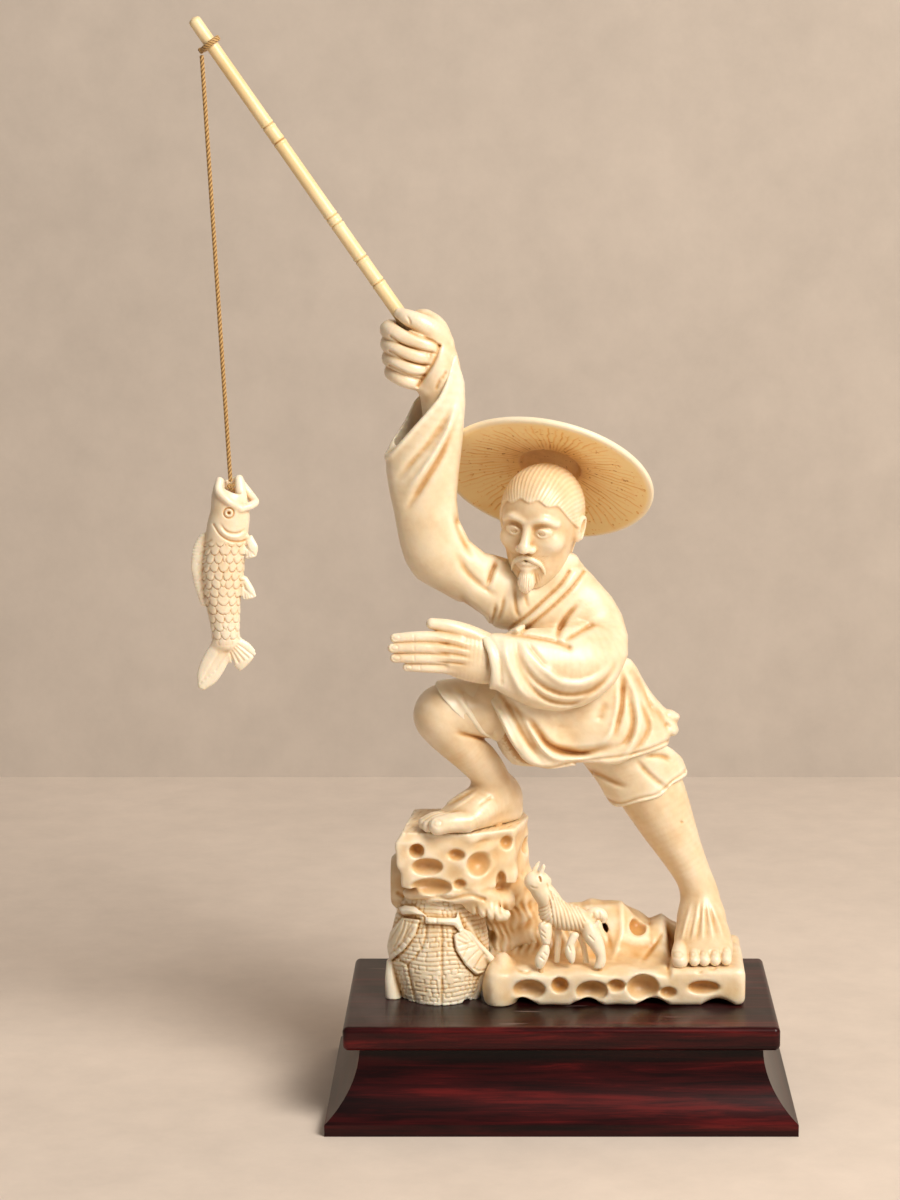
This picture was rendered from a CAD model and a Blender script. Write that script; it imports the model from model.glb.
# %% [markdown]
# # A carved fisher, from a frame of solids to a finished carving
# The real thing is carved in sections from one pale, close-grained material, pegged together
# on a dark hardwood stand. The frame below brings in the plain solids of the model. Each
# carved piece is then made again in full detail, in the same place, and stands for its solid.

# %% The frame and the tools
import math
import bmesh
import bpy
import numpy as np
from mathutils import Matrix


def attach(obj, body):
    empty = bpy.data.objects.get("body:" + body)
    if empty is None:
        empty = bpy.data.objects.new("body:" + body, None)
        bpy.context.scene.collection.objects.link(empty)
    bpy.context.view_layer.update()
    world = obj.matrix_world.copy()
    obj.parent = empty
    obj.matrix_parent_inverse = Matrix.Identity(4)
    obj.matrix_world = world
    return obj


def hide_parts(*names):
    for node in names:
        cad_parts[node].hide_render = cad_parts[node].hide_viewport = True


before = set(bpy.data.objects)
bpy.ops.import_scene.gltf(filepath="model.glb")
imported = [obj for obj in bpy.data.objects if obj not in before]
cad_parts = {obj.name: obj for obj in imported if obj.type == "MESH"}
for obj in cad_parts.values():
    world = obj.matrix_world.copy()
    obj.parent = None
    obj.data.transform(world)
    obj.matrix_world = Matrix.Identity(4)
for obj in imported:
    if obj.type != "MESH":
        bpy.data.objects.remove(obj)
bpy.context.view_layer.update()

# %% [markdown]
# ## The camera
# The camera stands where the photographer stood. Its place was worked out from the eight
# corners of the stand: a long lens, ten degrees above the level, with the picture moved a
# little to one side. The same sums tell which pixel any point of space falls on, so a fold
# can be drawn where the photograph shows it and then pressed into the round form.

# %% The camera
EYE = (-10.3, -954.0, 329.0)          # millimetres
LENS_PIXELS = 3100.0                  # the lens's length in pixels of a 900 x 1200 picture
MIDDLE_COLUMN = 528.0                 # the column that the lens looks straight at
DOWN = math.atan(549.0 / 3100.0)      # how far it looks down

camera_data = bpy.data.cameras.new("camera")
camera_data.sensor_width = 36.0
camera_data.lens = LENS_PIXELS * 36.0 / 1200.0
camera_data.shift_x = (450.0 - MIDDLE_COLUMN) / 1200.0
camera_data.clip_start = 0.01
camera = bpy.data.objects.new("camera", camera_data)
camera.location = [c / 1000 for c in EYE]
camera.rotation_euler = (math.pi / 2 - DOWN, 0, 0)
bpy.context.scene.collection.objects.link(camera)
bpy.context.scene.camera = camera


def photo_place(x, y, z):
    """Column and row of a point: its offset across and up over its distance, times the lens."""
    x, y, z = x - EYE[0], y - EYE[1], z - EYE[2]
    ahead = y * math.cos(DOWN) - z * math.sin(DOWN)
    up = y * math.sin(DOWN) + z * math.cos(DOWN)
    return MIDDLE_COLUMN + LENS_PIXELS * x / ahead, 600.0 - LENS_PIXELS * up / ahead


def under_pixel(column, row, y):
    """The point of space at depth y that falls on a pixel: the sums above turned round."""
    across = (column - MIDDLE_COLUMN) / LENS_PIXELS
    up = (600.0 - row) / LENS_PIXELS
    ahead = (y - EYE[1]) / (math.cos(DOWN) + up * math.sin(DOWN))
    return EYE[0] + across * ahead, y, EYE[2] + ahead * (up * math.cos(DOWN) - math.sin(DOWN))


print("lens", round(camera_data.lens, 2), "mm, shift", round(camera_data.shift_x, 4))

# %% [markdown]
# ## Carving by distances
# A carver starts from a block and takes away what isn't the figure. Here the block is a grid
# of points, and each point keeps one number: its distance to the surface, less than zero
# inside. Limbs are joined by taking the smaller distance, hollows are cut by taking the larger
# one with its sign turned, and a soft blend of the two makes the rounded inner corners that a
# burin leaves. Subdivision modelling could do it too, but folds that run across several limbs
# are much simpler to write this way.
#
# Rows of numbers are written as text, with a space between numbers, a comma between rows and a
# semicolon between tables. A row of a limb is x, y, z and one or two radii, in millimetres.

# %% A block of distances
FAR = 9.0                             # millimetres; beyond this the exact distance is no use


def read_rows(text):
    """The rows of numbers in a text; anything that isn't text stays as it is."""
    if not isinstance(text, str):
        return text
    return [tuple(map(float, row.split())) for row in text.split(",")]


def read_lists(text):
    """Several tables of rows from one text."""
    return [read_rows(part) for part in text.split(";")]


def soft_least(a, b, blend):
    """The lesser of two distances, with a rounded corner as wide as the blend."""
    share = np.clip(0.5 + 0.5 * (b - a) / blend, 0, 1)
    return b + (a - b) * share - blend * share * (1 - share)


class Block:
    """A box of points in millimetres, with a distance for each."""

    def __init__(self, low, high, step):
        self.step = step * 1.0
        self.x, self.y, self.z = (
            np.arange(a, b + self.step, self.step, dtype=np.float32) for a, b in zip(low, high))
        self.field = np.full((len(self.x), len(self.y), len(self.z)), FAR, np.float32)

    def window(self, low, high):
        """The slices of the grid between two corners, and its open coordinates there."""
        cut = []
        for axis, a, b in zip((self.x, self.y, self.z), low, high):
            first = int(np.clip((a - axis[0]) / self.step, 0, len(axis) - 2))
            last = int(np.clip((b - axis[0]) / self.step + 2, first + 2, len(axis)))
            cut.append(slice(first, last))
        return tuple(cut), (self.x[cut[0]][:, None, None], self.y[cut[1]][None, :, None],
                            self.z[cut[2]][None, None, :])

    def near_surface(self, reach=3.0):
        """The points within a reach of the surface, and their coordinates."""
        where = np.nonzero(np.abs(self.field) < reach)
        return where, self.x[where[0]], self.y[where[1]], self.z[where[2]]


def smooth_rows(rows, per_span):
    """Rows of numbers joined by a Catmull-Rom curve, with extra rows in each span."""
    rows = np.asarray(rows, float)
    if len(rows) < 3 or per_span < 2:
        return rows
    padded = np.vstack([2 * rows[0] - rows[1], rows, 2 * rows[-1] - rows[-2]])
    out = []
    for k in range(len(rows) - 1):
        p0, p1, p2, p3 = padded[k:k + 4]
        t = np.linspace(0, 1, per_span, endpoint=False)[:, None]
        out.append(0.5 * (2 * p1 + (p2 - p0) * t + (2 * p0 - 5 * p1 + 4 * p2 - p3) * t**2
                          + (3 * p1 - p0 - 3 * p2 + p3) * t**3))
    return np.vstack(out + [rows[-1:]])


def limb_distance(block, rows, wide_way, per_span=5):
    """Distance to an oval tube. A row is x, y, z, its radius along wide_way and across it.

    Between two rows the centre and both radii change evenly. The offset along wide_way is
    shrunk by the ratio of the radii, so the oval becomes a circle, and the distance is the
    length of the offset less the radius."""
    rows = smooth_rows([(*r, r[3]) if len(r) == 4 else r for r in read_rows(rows)], per_span)
    reach = rows[:, 3:5].max() + 4.0 + 3 * block.step
    cut, _ = block.window(rows[:, :3].min(axis=0) - reach, rows[:, :3].max(axis=0) + reach)
    shape = np.full(block.field[cut].shape, FAR, np.float32)
    start = [s.start for s in cut]
    way = np.asarray(wide_way, float)
    way = way / np.linalg.norm(way)
    for a, b in zip(rows[:-1], rows[1:]):
        r = max(a[3], a[4], b[3], b[4]) + 4.0
        inner, (x, y, z) = block.window(np.minimum(a[:3], b[:3]) - r,
                                        np.maximum(a[:3], b[:3]) + r)
        run = b[:3] - a[:3]
        size = float(run @ run) + 1e-9
        dx, dy, dz = x - a[0], y - a[1], z - a[2]
        t = np.clip((dx * run[0] + dy * run[1] + dz * run[2]) / size, 0, 1)
        dx, dy, dz = dx - t * run[0], dy - t * run[1], dz - t * run[2]
        wide, thin = a[3] + (b[3] - a[3]) * t, a[4] + (b[4] - a[4]) * t
        along = dx * way[0] + dy * way[1] + dz * way[2]
        rest = np.maximum(dx * dx + dy * dy + dz * dz - along * along, 0)
        distance = np.sqrt(rest + (along * thin / wide)**2) - thin
        place = tuple(slice(s.start - o, s.stop - o) for s, o in zip(inner, start))
        shape[place] = np.minimum(shape[place], distance)
    return cut, shape


def add_limb(block, rows, wide_way=(1, 0, 0), blend=1.0, per_span=5):
    """Joins an oval tube to the block with a soft inner corner."""
    cut, shape = limb_distance(block, rows, wide_way, per_span)
    block.field[cut] = soft_least(block.field[cut], shape, blend)


def cut_limb(block, rows, wide_way=(1, 0, 0), blend=0.6, per_span=5):
    """Takes an oval tube out of the block: the greater of the distance and minus the tube's."""
    cut, shape = limb_distance(block, rows, wide_way, per_span)
    block.field[cut] = -soft_least(-block.field[cut], shape, blend)


def ball_distance(block, centre, radii, margin):
    """Distance to an oval ball: the offset over the radii, less one, times the least radius."""
    radii = np.asarray(radii, float)
    cut, point = block.window(np.subtract(centre, radii + margin), np.add(centre, radii + margin))
    over = [((p - c) / r)**2 for p, c, r in zip(point, centre, radii)]
    return cut, (np.sqrt(over[0] + over[1] + over[2]) - 1) * radii.min()


def add_ball(block, centre, radii, blend=1.0):
    """Joins an oval ball."""
    cut, shape = ball_distance(block, centre, radii, 4)
    block.field[cut] = soft_least(block.field[cut], shape, blend)


def cut_ball(block, centre, radii, blend=0.6):
    """Takes an oval ball out of the block."""
    cut, shape = ball_distance(block, centre, radii, 3)
    block.field[cut] = -soft_least(-block.field[cut], shape, blend)


def cut_below(block, height, blend=0.3):
    """Takes away what lies below a height."""
    flat = (height - block.z)[None, None, :]
    block.field[...] = -soft_least(-block.field, -flat, blend)


def waves(x, y, z, size, seed, count=5):
    """Soft lumps: the mean of a few sine waves in random directions, about one size long."""
    random = np.random.default_rng(seed)
    total = 0
    for _ in range(count):
        way = random.normal(size=3)
        way = way / np.linalg.norm(way) * 2 * np.pi / (size * random.uniform(0.7, 1.5))
        total = total + np.sin(x * way[0] + y * way[1] + z * way[2] + random.uniform(0, 6.28))
    return (total / count**0.5).astype(np.float32)


print("carving tools ready, quick look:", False)

# %% [markdown]
# ## Drawing folds on the form
# A carver pencils each fold on the rough form and then cuts along the line. A stroke here is
# a line of pixels with a kind, a depth in millimetres and a width in pixels. A groove is cut
# in, a ridge stands out, and a step sinks the left-hand side of the line and leaves the right.
# Every stroke fades at both ends, unless it says that it is full. Strokes press into the side
# that faces the camera, in front of a given depth.

# %% Strokes and outlines
def line_offsets(points, columns, rows):
    """For each pixel: distance to a line of points, side of it, and how far along it lies."""
    points = smooth_rows(points, 4 if len(points) > 2 else 1)
    best = np.full(columns.shape, 1e6, np.float32)
    side = np.zeros_like(best)
    along = np.zeros_like(best)
    lengths = np.hypot(*np.diff(points, axis=0).T)
    done = np.concatenate([[0], np.cumsum(lengths)])
    for k, (a, b) in enumerate(zip(points[:-1], points[1:])):
        dx, dy = b - a
        t = ((columns - a[0]) * dx + (rows - a[1]) * dy) / (dx * dx + dy * dy + 1e-9)
        t = np.clip(t, 0, 1)
        ox, oy = columns - a[0] - t * dx, rows - a[1] - t * dy
        distance = np.hypot(ox, oy)
        nearer = distance < best
        best = np.where(nearer, distance, best)
        side = np.where(nearer, np.sign(dx * oy - dy * ox), side)
        along = np.where(nearer, done[k] + t * lengths[k], along)
    return best, side, along, done[-1]


def seen(rows):
    """Turns rows of column, row, depth and radii into rows of x, y, z and radii."""
    return [under_pixel(*r[:3]) + tuple(r[3:]) for r in read_rows(rows)]


def nail(column, row, wide, high, depth=0.22):
    """A nail: a shallow ring of the nail's size, drawn as a closed stroke."""
    turn = np.linspace(0, 2 * np.pi, 13)
    return ("groove full", depth, 0.75,
            list(zip(column + wide * np.cos(turn), row + high * np.sin(turn))))


def read_strokes(text):
    """Strokes from a text, or as they are: kind, depth, width, a colon and the line's places."""
    if not isinstance(text, str):
        return text
    made = []
    for part in text.split(";"):
        head, _, line = part.partition(":")
        *kind, depth, width = head.split()
        if kind[0] == "nail":
            made.append(nail(*map(float, head.split()[1:])))
        else:
            made.append((" ".join(kind), float(depth), float(width), read_rows(line)))
    return made


def drawing(strokes):
    """The depth to cut at each pixel: all strokes added, on a sheet of half pixels."""
    points = np.vstack([np.asarray(s[3], float) for s in strokes])
    reach = 3 * max(s[2] for s in strokes) + 3
    low, high = points.min(axis=0) - reach, points.max(axis=0) + reach
    columns, rows = np.meshgrid(np.arange(low[0], high[0], 0.5, dtype=np.float32),
                                np.arange(low[1], high[1], 0.5, dtype=np.float32))
    depth = np.zeros_like(columns)
    for kind, amount, width, line in strokes:
        distance, side, along, whole = line_offsets(line, columns, rows)
        fade = 1.0 if kind.endswith("full") else np.clip(
            np.minimum(along, whole - along) / (0.28 * whole) + 0.12, 0, 1)
        if kind.startswith("groove"):
            depth += amount * fade * np.exp(-(distance / width)**2)
        elif kind.startswith("ridge"):
            depth -= amount * fade * np.exp(-(distance / width)**2)
        else:
            sunk = 0.5 + 0.5 * np.tanh(side * distance / 1.1)
            depth += amount * fade * sunk * np.exp(-(distance / (3 * width))**2)
    return low, depth


def read_sheet(sheet, columns, rows):
    """The value of a half-pixel sheet at any pixels, blended from the four nearest."""
    low, values = sheet
    u = np.clip((columns - low[0]) * 2, 0, values.shape[1] - 1.01)
    v = np.clip((rows - low[1]) * 2, 0, values.shape[0] - 1.01)
    i, j = u.astype(np.int32), v.astype(np.int32)
    u, v = u - i, v - j
    return ((values[j, i] * (1 - u) + values[j, i + 1] * u) * (1 - v)
            + (values[j + 1, i] * (1 - u) + values[j + 1, i + 1] * u) * v)


def press(block, strokes, behind, reach=3.0):
    """Presses strokes into the side of the form that lies in front of the depth behind."""
    where, x, y, z = block.near_surface(reach)
    middle = behind(x, z) if callable(behind) else behind
    front = np.clip((middle - y) / 1.5 + 0.5, 0, 1)
    depth = read_sheet(drawing(read_strokes(strokes)), *photo_place(x, y, z))
    block.field[where] += (depth * front).astype(np.float32)


def outline_sheet(points):
    """Distance in pixels to a closed outline, less than zero inside, on half pixels."""
    points = np.asarray(read_rows(points), float)
    low, high = points.min(axis=0) - 12, points.max(axis=0) + 12
    columns, rows = np.meshgrid(np.arange(low[0], high[0], 0.5, dtype=np.float32),
                                np.arange(low[1], high[1], 0.5, dtype=np.float32))
    best = np.full(columns.shape, 1e6, np.float32)
    inside = np.zeros(columns.shape, bool)
    for a, b in zip(points, np.roll(points, -1, axis=0)):
        dx, dy = b - a
        t = ((columns - a[0]) * dx + (rows - a[1]) * dy) / (dx * dx + dy * dy + 1e-9)
        t = np.clip(t, 0, 1)
        best = np.minimum(best, np.hypot(columns - a[0] - t * dx, rows - a[1] - t * dy))
        crosses = (a[1] > rows) != (b[1] > rows)
        inside ^= crosses & (columns < a[0] + (rows - a[1]) * dx / (dy if dy else 1e-9))
    return low, np.where(inside, -best, best)


PIXEL = 0.312                         # millimetres of the figure that one pixel covers


def rounded(outline):
    """Cuts the corners of an outline: each side keeps its middle half, twice over."""
    outline = np.asarray(read_rows(outline), float)
    for _ in range(2):
        after = np.roll(outline, -1, axis=0)
        near, far = 0.75 * outline + 0.25 * after, 0.25 * outline + 0.75 * after
        outline = np.stack([near, far], axis=1).reshape(-1, 2)
    return outline


def trim(block, outline, blend=1.6, front=None, cut_inside=False):
    """Keeps what the outline covers, seen from the camera, with a rounded edge.

    With cut_inside it takes away what the outline covers. A front depth limits the cut to
    what lies nearer the camera than that."""
    where, x, y, z = block.near_surface(6.0)
    distance = read_sheet(outline_sheet(outline), *photo_place(x, y, z)) * PIXEL
    if cut_inside:
        distance = -distance
    if front is not None:
        distance = np.minimum(distance, front(x, z) - y if callable(front) else front - y)
    field = block.field[where]
    block.field[where] = -soft_least(-field, -distance, blend)


# %% [markdown]
# ## From distances to a mesh
# Every small cell of the grid that the surface crosses gets one point, at the mean of the
# places where its edges are crossed, and every crossed edge gets one four-sided face between
# its four cells. The mesh is closed, even and smooth, with no long thin faces. Two more
# numbers go with each point, for the stain: how much of a small ball and of a large ball round
# it lies inside the form. They are high in a groove and low on an edge.

# %% The mesh maker
def blurred(field, radius):
    """The mean over a cube round each point, one axis at a time, by running sums."""
    for axis in range(3):
        padded = np.concatenate([np.repeat(field.take([0], axis), radius + 1, axis), field,
                                 np.repeat(field.take([-1], axis), radius, axis)], axis)
        total = np.cumsum(padded, axis, dtype=np.float32)
        size = field.shape[axis]
        field = (total.take(range(2 * radius + 1, 2 * radius + 1 + size), axis)
                 - total.take(range(0, size), axis)) / (2 * radius + 1)
    return field


CORNERS = [(i, j, k) for i in (0, 1) for j in (0, 1) for k in (0, 1)]


def skin(block):
    """Points, faces, and the two stain numbers of the surface of a block."""
    field = np.clip(block.field, -3, 3)
    for axis in range(3):
        for border in (0, -1):
            edge = (slice(None),) * axis + (border,)
            field[edge] = np.maximum(field[edge], 0.3)
    inside = field < 0
    count = sum(inside[i:i + inside.shape[0] - 1, j:j + inside.shape[1] - 1,
                       k:k + inside.shape[2] - 1].astype(np.int8) for i, j, k in CORNERS)
    active = (count > 0) & (count < 8)
    cells = np.argwhere(active)
    number = np.full(active.shape, -1, np.int32)
    number[active] = np.arange(len(cells))
    place = np.zeros((len(cells), 3), np.float32)
    hits = np.zeros((len(cells), 1), np.float32)
    for axis in range(3):
        for corner in CORNERS:
            if corner[axis]:
                continue
            ahead = list(corner)
            ahead[axis] = 1
            a = field[tuple((cells + corner).T)]
            b = field[tuple((cells + ahead).T)]
            crossed = (a < 0) != (b < 0)
            t = np.where(crossed, a / np.where(crossed, a - b, 1), 0)
            spot = np.tile(np.asarray(corner, np.float32), (len(cells), 1))
            spot[:, axis] += t
            place += np.where(crossed[:, None], spot, 0)
            hits += crossed[:, None]
    origin = np.array([block.x[0], block.y[0], block.z[0]], np.float32)
    points = origin + block.step * (cells + place / hits)
    faces = []
    for axis in range(3):
        u, v = (axis + 1) % 3, (axis + 2) % 3
        low = inside.take(range(inside.shape[axis] - 1), axis)
        high = inside.take(range(1, inside.shape[axis]), axis)
        crossed = np.argwhere(low != high)
        crossed = crossed[(crossed[:, u] > 0) & (crossed[:, v] > 0)
                          & (crossed[:, u] < inside.shape[u] - 1)
                          & (crossed[:, v] < inside.shape[v] - 1)]
        step_u, step_v = np.eye(3, dtype=int)[u], np.eye(3, dtype=int)[v]
        quad = np.stack([number[tuple((crossed - d).T)] for d in (
            0 * step_u, step_u, step_u + step_v, step_v)], axis=1)
        leaving = inside[tuple(crossed.T)]
        quad[~leaving] = quad[~leaving][:, ::-1]
        faces.append(quad)
    faces = np.vstack(faces)
    stains = []
    spots = (points - origin) / block.step
    first = np.clip(spots.astype(np.int32), 0, np.array(field.shape) - 2)
    part = spots - first
    for reach in (0.9, 3.2):
        soft = blurred(field, max(1, round(reach / block.step)))
        stains.append(sum(soft[tuple((first + c).T)] * np.prod(np.where(c, part, 1 - part), axis=1)
                          for c in CORNERS))
    return points, faces, stains


def show(name, points, faces, stains=None, smooth=True):
    """Makes an object of points in millimetres and faces, with its stain numbers."""
    mesh = bpy.data.meshes.new(name)
    faces = np.asarray(faces)
    mesh.vertices.add(len(points))
    mesh.vertices.foreach_set("co", (np.asarray(points, np.float32) / 1000).ravel())
    mesh.loops.add(faces.size)
    mesh.loops.foreach_set("vertex_index", faces.ravel().astype(np.int32))
    mesh.polygons.add(len(faces))
    starts = np.arange(0, faces.size, faces.shape[1], dtype=np.int32)
    mesh.polygons.foreach_set("loop_start", starts)
    mesh.update(calc_edges=True)
    mesh.validate()
    mesh.polygons.foreach_set("use_smooth", np.full(len(mesh.polygons), smooth))
    for label, values in zip(("groove", "hollow"), stains or []):
        layer = mesh.attributes.new(label, "FLOAT", "POINT")
        layer.data.foreach_set("value", np.asarray(values, np.float32))
    piece = bpy.data.objects.new(name, mesh)
    bpy.context.scene.collection.objects.link(piece)
    return piece


def in_place(piece, body, slot, material, *nodes):
    """Puts a finished piece in place of its solids, riding on their body, in its material."""
    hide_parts(*nodes)
    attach(piece, body)
    put_on(piece, material)
    print(f"{piece.name}: {sum(len(p.vertices) - 2 for p in piece.data.polygons)} triangles")


def carve_out(name, block, material, *nodes, body="carving"):
    """The finished piece of a block, in place of its solids."""
    in_place(show(name, *skin(block)), body, "ivory_look_resin", material, *nodes)


# %% [markdown]
# ## The look of the carving
# The carving is an ivory-look resin, cast or carved and then rubbed with a warm brown stain
# that stays in the grooves. Light goes a little way into it, so it looks soft, and the rubbed
# edges are the palest. The stain follows the two numbers of each carved mesh: the small ball
# finds the fine grooves and the large one the deep hollows.

# %% Small helpers for materials
def colour(code):
    """A colour written as in a paint program, turned to the linear values of the renderer."""
    parts = [int(code[k:k + 2], 16) / 255 for k in (1, 3, 5)]
    return tuple(c / 12.92 if c <= 0.04045 else ((c + 0.055) / 1.055)**2.4 for c in parts) + (1.0,)


def node(material, kind, inputs=None, **settings):
    """Adds one node: its own settings by name, and its sockets by name or number.

    A socket gets a value, or the output of another node."""
    made = material.node_tree.nodes.new("ShaderNode" + kind)
    for key, value in settings.items():
        setattr(made, key, value)
    for key, value in (inputs or {}).items():
        socket = made.inputs[key]
        if isinstance(value, bpy.types.NodeSocket):
            material.node_tree.links.new(value, socket)
        else:
            socket.default_value = value
    return made


def ramp(material, factor, stops):
    """A colour ramp: pairs of place and colour, fed by a factor."""
    made = node(material, "ValToRGB", {"Fac": factor})
    elements = made.color_ramp.elements
    while len(elements) < len(stops):
        elements.new(0.5)
    for element, (place, code) in zip(elements, stops):
        element.position = place
        element.color = colour(code) if isinstance(code, str) else code
    return made.outputs["Color"]


def new_material(name):
    """An empty material, and the place in metres of each point that it colours."""
    material = bpy.data.materials.new(name)
    material.use_nodes = True
    material.node_tree.nodes.clear()
    return material, node(material, "TexCoord").outputs["Object"]


def stored(material, name):
    """A number that is kept on the mesh under this name."""
    return node(material, "Attribute", attribute_name=name).outputs["Fac"]


def noise(material, vector, scale, detail, roughness=0.5, distortion=0.0):
    """Clouds from 0 to 1, with a scale in clouds to the metre."""
    return node(material, "TexNoise", {
        "Vector": vector, "Scale": scale, "Detail": detail, "Roughness": roughness,
        "Distortion": distortion}).outputs["Fac"]


def mapped(material, value, low=0.0, high=1.0, to_low=0.0, to_high=1.0):
    """A number carried from one range to another and held inside it."""
    return node(material, "MapRange", {
        "Value": value, "From Min": low, "From Max": high, "To Min": to_low,
        "To Max": to_high}).outputs[0]


def joined(material, operation, a, b):
    """Two numbers joined by an operation of arithmetic."""
    return node(material, "Math", {0: a, 1: b}, operation=operation).outputs[0]


def relief(material, height, strength, distance):
    """The normal of a surface with this height pressed in it."""
    return node(material, "Bump", {"Height": height, "Strength": strength,
                                   "Distance": distance}).outputs[0]


def finish_material(material, inputs):
    """A Principled shader with these inputs, joined to the material's output."""
    shader = node(material, "BsdfPrincipled", inputs)
    node(material, "OutputMaterial", {"Surface": shader.outputs[0]})
    return material


def put_on(piece, material):
    """Gives a piece this material alone."""
    piece.data.materials.clear()
    piece.data.materials.append(material)


# %% The carved resin
def carved_resin(name, tints, stain_from=0.0, grain=1.0, rough=0.36):
    """Ivory-look resin: pale edges, warm faces, and amber to brown where the stain stays."""
    m, spot = new_material(name)
    # clouds about 9 mm wide make the rubbed stain uneven
    uneven = mapped(m, noise(m, spot, 110.0, 4.0, 0.6), 0.3, 0.7, -0.12, 0.12)
    fine = mapped(m, stored(m, "groove"), 0.10 - stain_from, -0.55, 0.0, 0.56)
    wide = mapped(m, stored(m, "hollow"), 0.9, -1.1, 0.0, 0.48)
    stain = joined(m, "ADD", joined(m, "ADD", fine, wide), uneven)
    tint = ramp(m, stain, list(zip((0.0, 0.24, 0.58, 0.95), tints.split())))
    # fine lines of growth, half a millimetre apart, as in the real material
    lines = node(m, "TexWave", {"Vector": spot, "Scale": 120.0, "Distortion": 3.0,
                                "Detail": 3.0}, bands_direction="DIAGONAL").outputs["Fac"]
    toned = node(m, "VectorMath", {0: tint, 1: mapped(m, lines, to_low=0.98, to_high=1.01)},
                 operation="MULTIPLY").outputs[0]
    # a skin of tool marks and wear under a tenth of a millimetre deep
    marks = relief(m, noise(m, spot, 900.0, 5.0, 0.62), 0.22 * grain, 0.00025)
    return finish_material(m, {
        "Base Color": toned, "Roughness": mapped(m, stain, to_low=rough, to_high=rough + 0.18),
        "Normal": marks, "IOR": RESIN_BENDING, "Subsurface Weight": 0.22,
        "Subsurface Radius": (0.0022, 0.0012, 0.0006), "Subsurface Scale": 1.0,
        "Coat Weight": 0.18, "Coat Roughness": 0.25})


RESIN_BENDING = 1.54                  # how much the resin bends light
IVORY = carved_resin("ivory look resin", "#faecd3 #edd9b7 #d6ae7a #b07a42")
SKIN_IVORY = carved_resin("ivory look resin polished", "#f9e8ce #ebd3ae #d5aa72 #b07a42",
                          rough=0.3)
ROCK_IVORY = carved_resin("ivory look resin rock", "#f7e6ca #e9cda1 #cf9c5a #975b22",
                          stain_from=-0.02, grain=1.4)
FISH_IVORY = carved_resin("ivory look resin fish", "#fcefd9 #f3dfbf #d3a268 #9c6228",
                          stain_from=0.03)
WEAVE_IVORY = carved_resin("ivory look resin weave", "#fbf0dc #f0dfc0 #d8b27c #a5743c",
                           grain=1.2)

# %% [markdown]
# ## The upper robe
# Torso, raised sleeve and lowered sleeve run into each other in the photograph, and their
# folds cross from one to the next, so they are carved here from one block. In the construction
# they stay three solids on one body. The oval limbs come first, a little larger than the robe,
# because the outline seen from the camera is trimmed afterwards. Both sleeves are hollow, with
# a wall about two millimetres thick, and the raised one is cut open along its front edge.

# %% Upper robe: forms, outline and hollows
RAISED_EDGE = """
    454.2 350, 451.4 367.7, 446.8 384.3, 439.4 399.1, 425.5 415.8, 410.7 432.4, 397.7 447.2,
    390.3 454.6, 380 458"""
ROBE_OUTLINE = """
    457 355, 465 382, 466 403, 463 440, 459 475, 457 500, 459 520, 470 541, 485 553, 507 557,
    520 555, 545 548, 582 553, 587 566, 597 580, 612 597, 622 614, 628 635, 628 655, 622 670,
    615 683, 600 697, 583 707, 560 713, 534 711, 513 700, 496 690, 489 689, 490 670, 487 655,
    481 642, 473 634, 489 630, 483 617, 469 607, 450 598, 429 587, 415 580, 405 563, 399.5 544,
    394 512, 390 495, 386 471, 386 453, 392 440, 405 420, 414 401, 420 394.5"""

block = Block((-58, -34, 125), (32, 20, 242), 0.47)
add_limb(block, """
    9.5 2 131.5 17 11.5, 7.5 2 139 17 12, 4.5 1.5 147 17 12.6, 1 0.5 155 17 12.4,
    -1 0 161 15 11, -2.5 -1 167 10.5 9.5, -3 -2 171 9 8""", blend=1.0)
add_limb(block, """
    -6 -1 158 12 11, -20 -3 163.5 12 10.5, -30 -5 170.5 11.2 10.4, -37.5 -6.5 176 11.6 10.4,
    -40.3 -6.5 184 12 10.6, -42.5 -7 192 11.8 10.4, -43 -7.5 203 13.2 11,
    -41.5 -8 212 12.8 10.4, -37.5 -8.5 224 9.4 8.4, -34 -8.5 236 4.8 5""",
         (1, 0, 0.1), 2.6)
add_limb(block, """
    8 1 157 11.5 10.5, 11 -1 150.5 11.5 10.8, 11.8 -7 143.5 12 11.6, 4 -13 141 13.6 12.4,
    -5 -17 141.3 13 11.4, -13 -20 143 11.8 10.2, -20.5 -22 144 10.4 9.2, -23.5 -23 144.5 9.8 8.8""",
         (0.12, 0, 1), 2.4)
trim(block, ROBE_OUTLINE, 2.2)
# the raised sleeve's hollow, and its near wall cut back to the edge that the camera sees
cut_limb(block, """
    -44.5 -6 205 6.8 5, -41.8 -7 212 9.4 6.2, -38 -8 222 7.4 5.6, -35 -8.5 233 4.2 4,
    -33 -8.5 245 4 4""", (1, 0, 0.1), 0.8)
trim(block, RAISED_EDGE + ", 360 440, 360 330, 450 330", 0.7, front=-8.0, cut_inside=True)
# the lowered sleeve's cuff
cut_limb(block, """
    -14 -20.5 143.6 6 5.4, -22 -22.5 144.4 7.6 7, -32 -25.5 145.5 8.4 7.8""", (0.12, 0, 1), 0.8)

# %% [markdown]
# ## Folds of the robe
# The folds are read from the photograph as lines of pixels. The collar is a band between two
# grooves. The cloth hangs in curved folds under the lowered arm and is pulled in straight ones
# towards the raised shoulder. The back can't be seen, so it gets a few plain folds of the
# same depth, from the shoulders to the belt.

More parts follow.
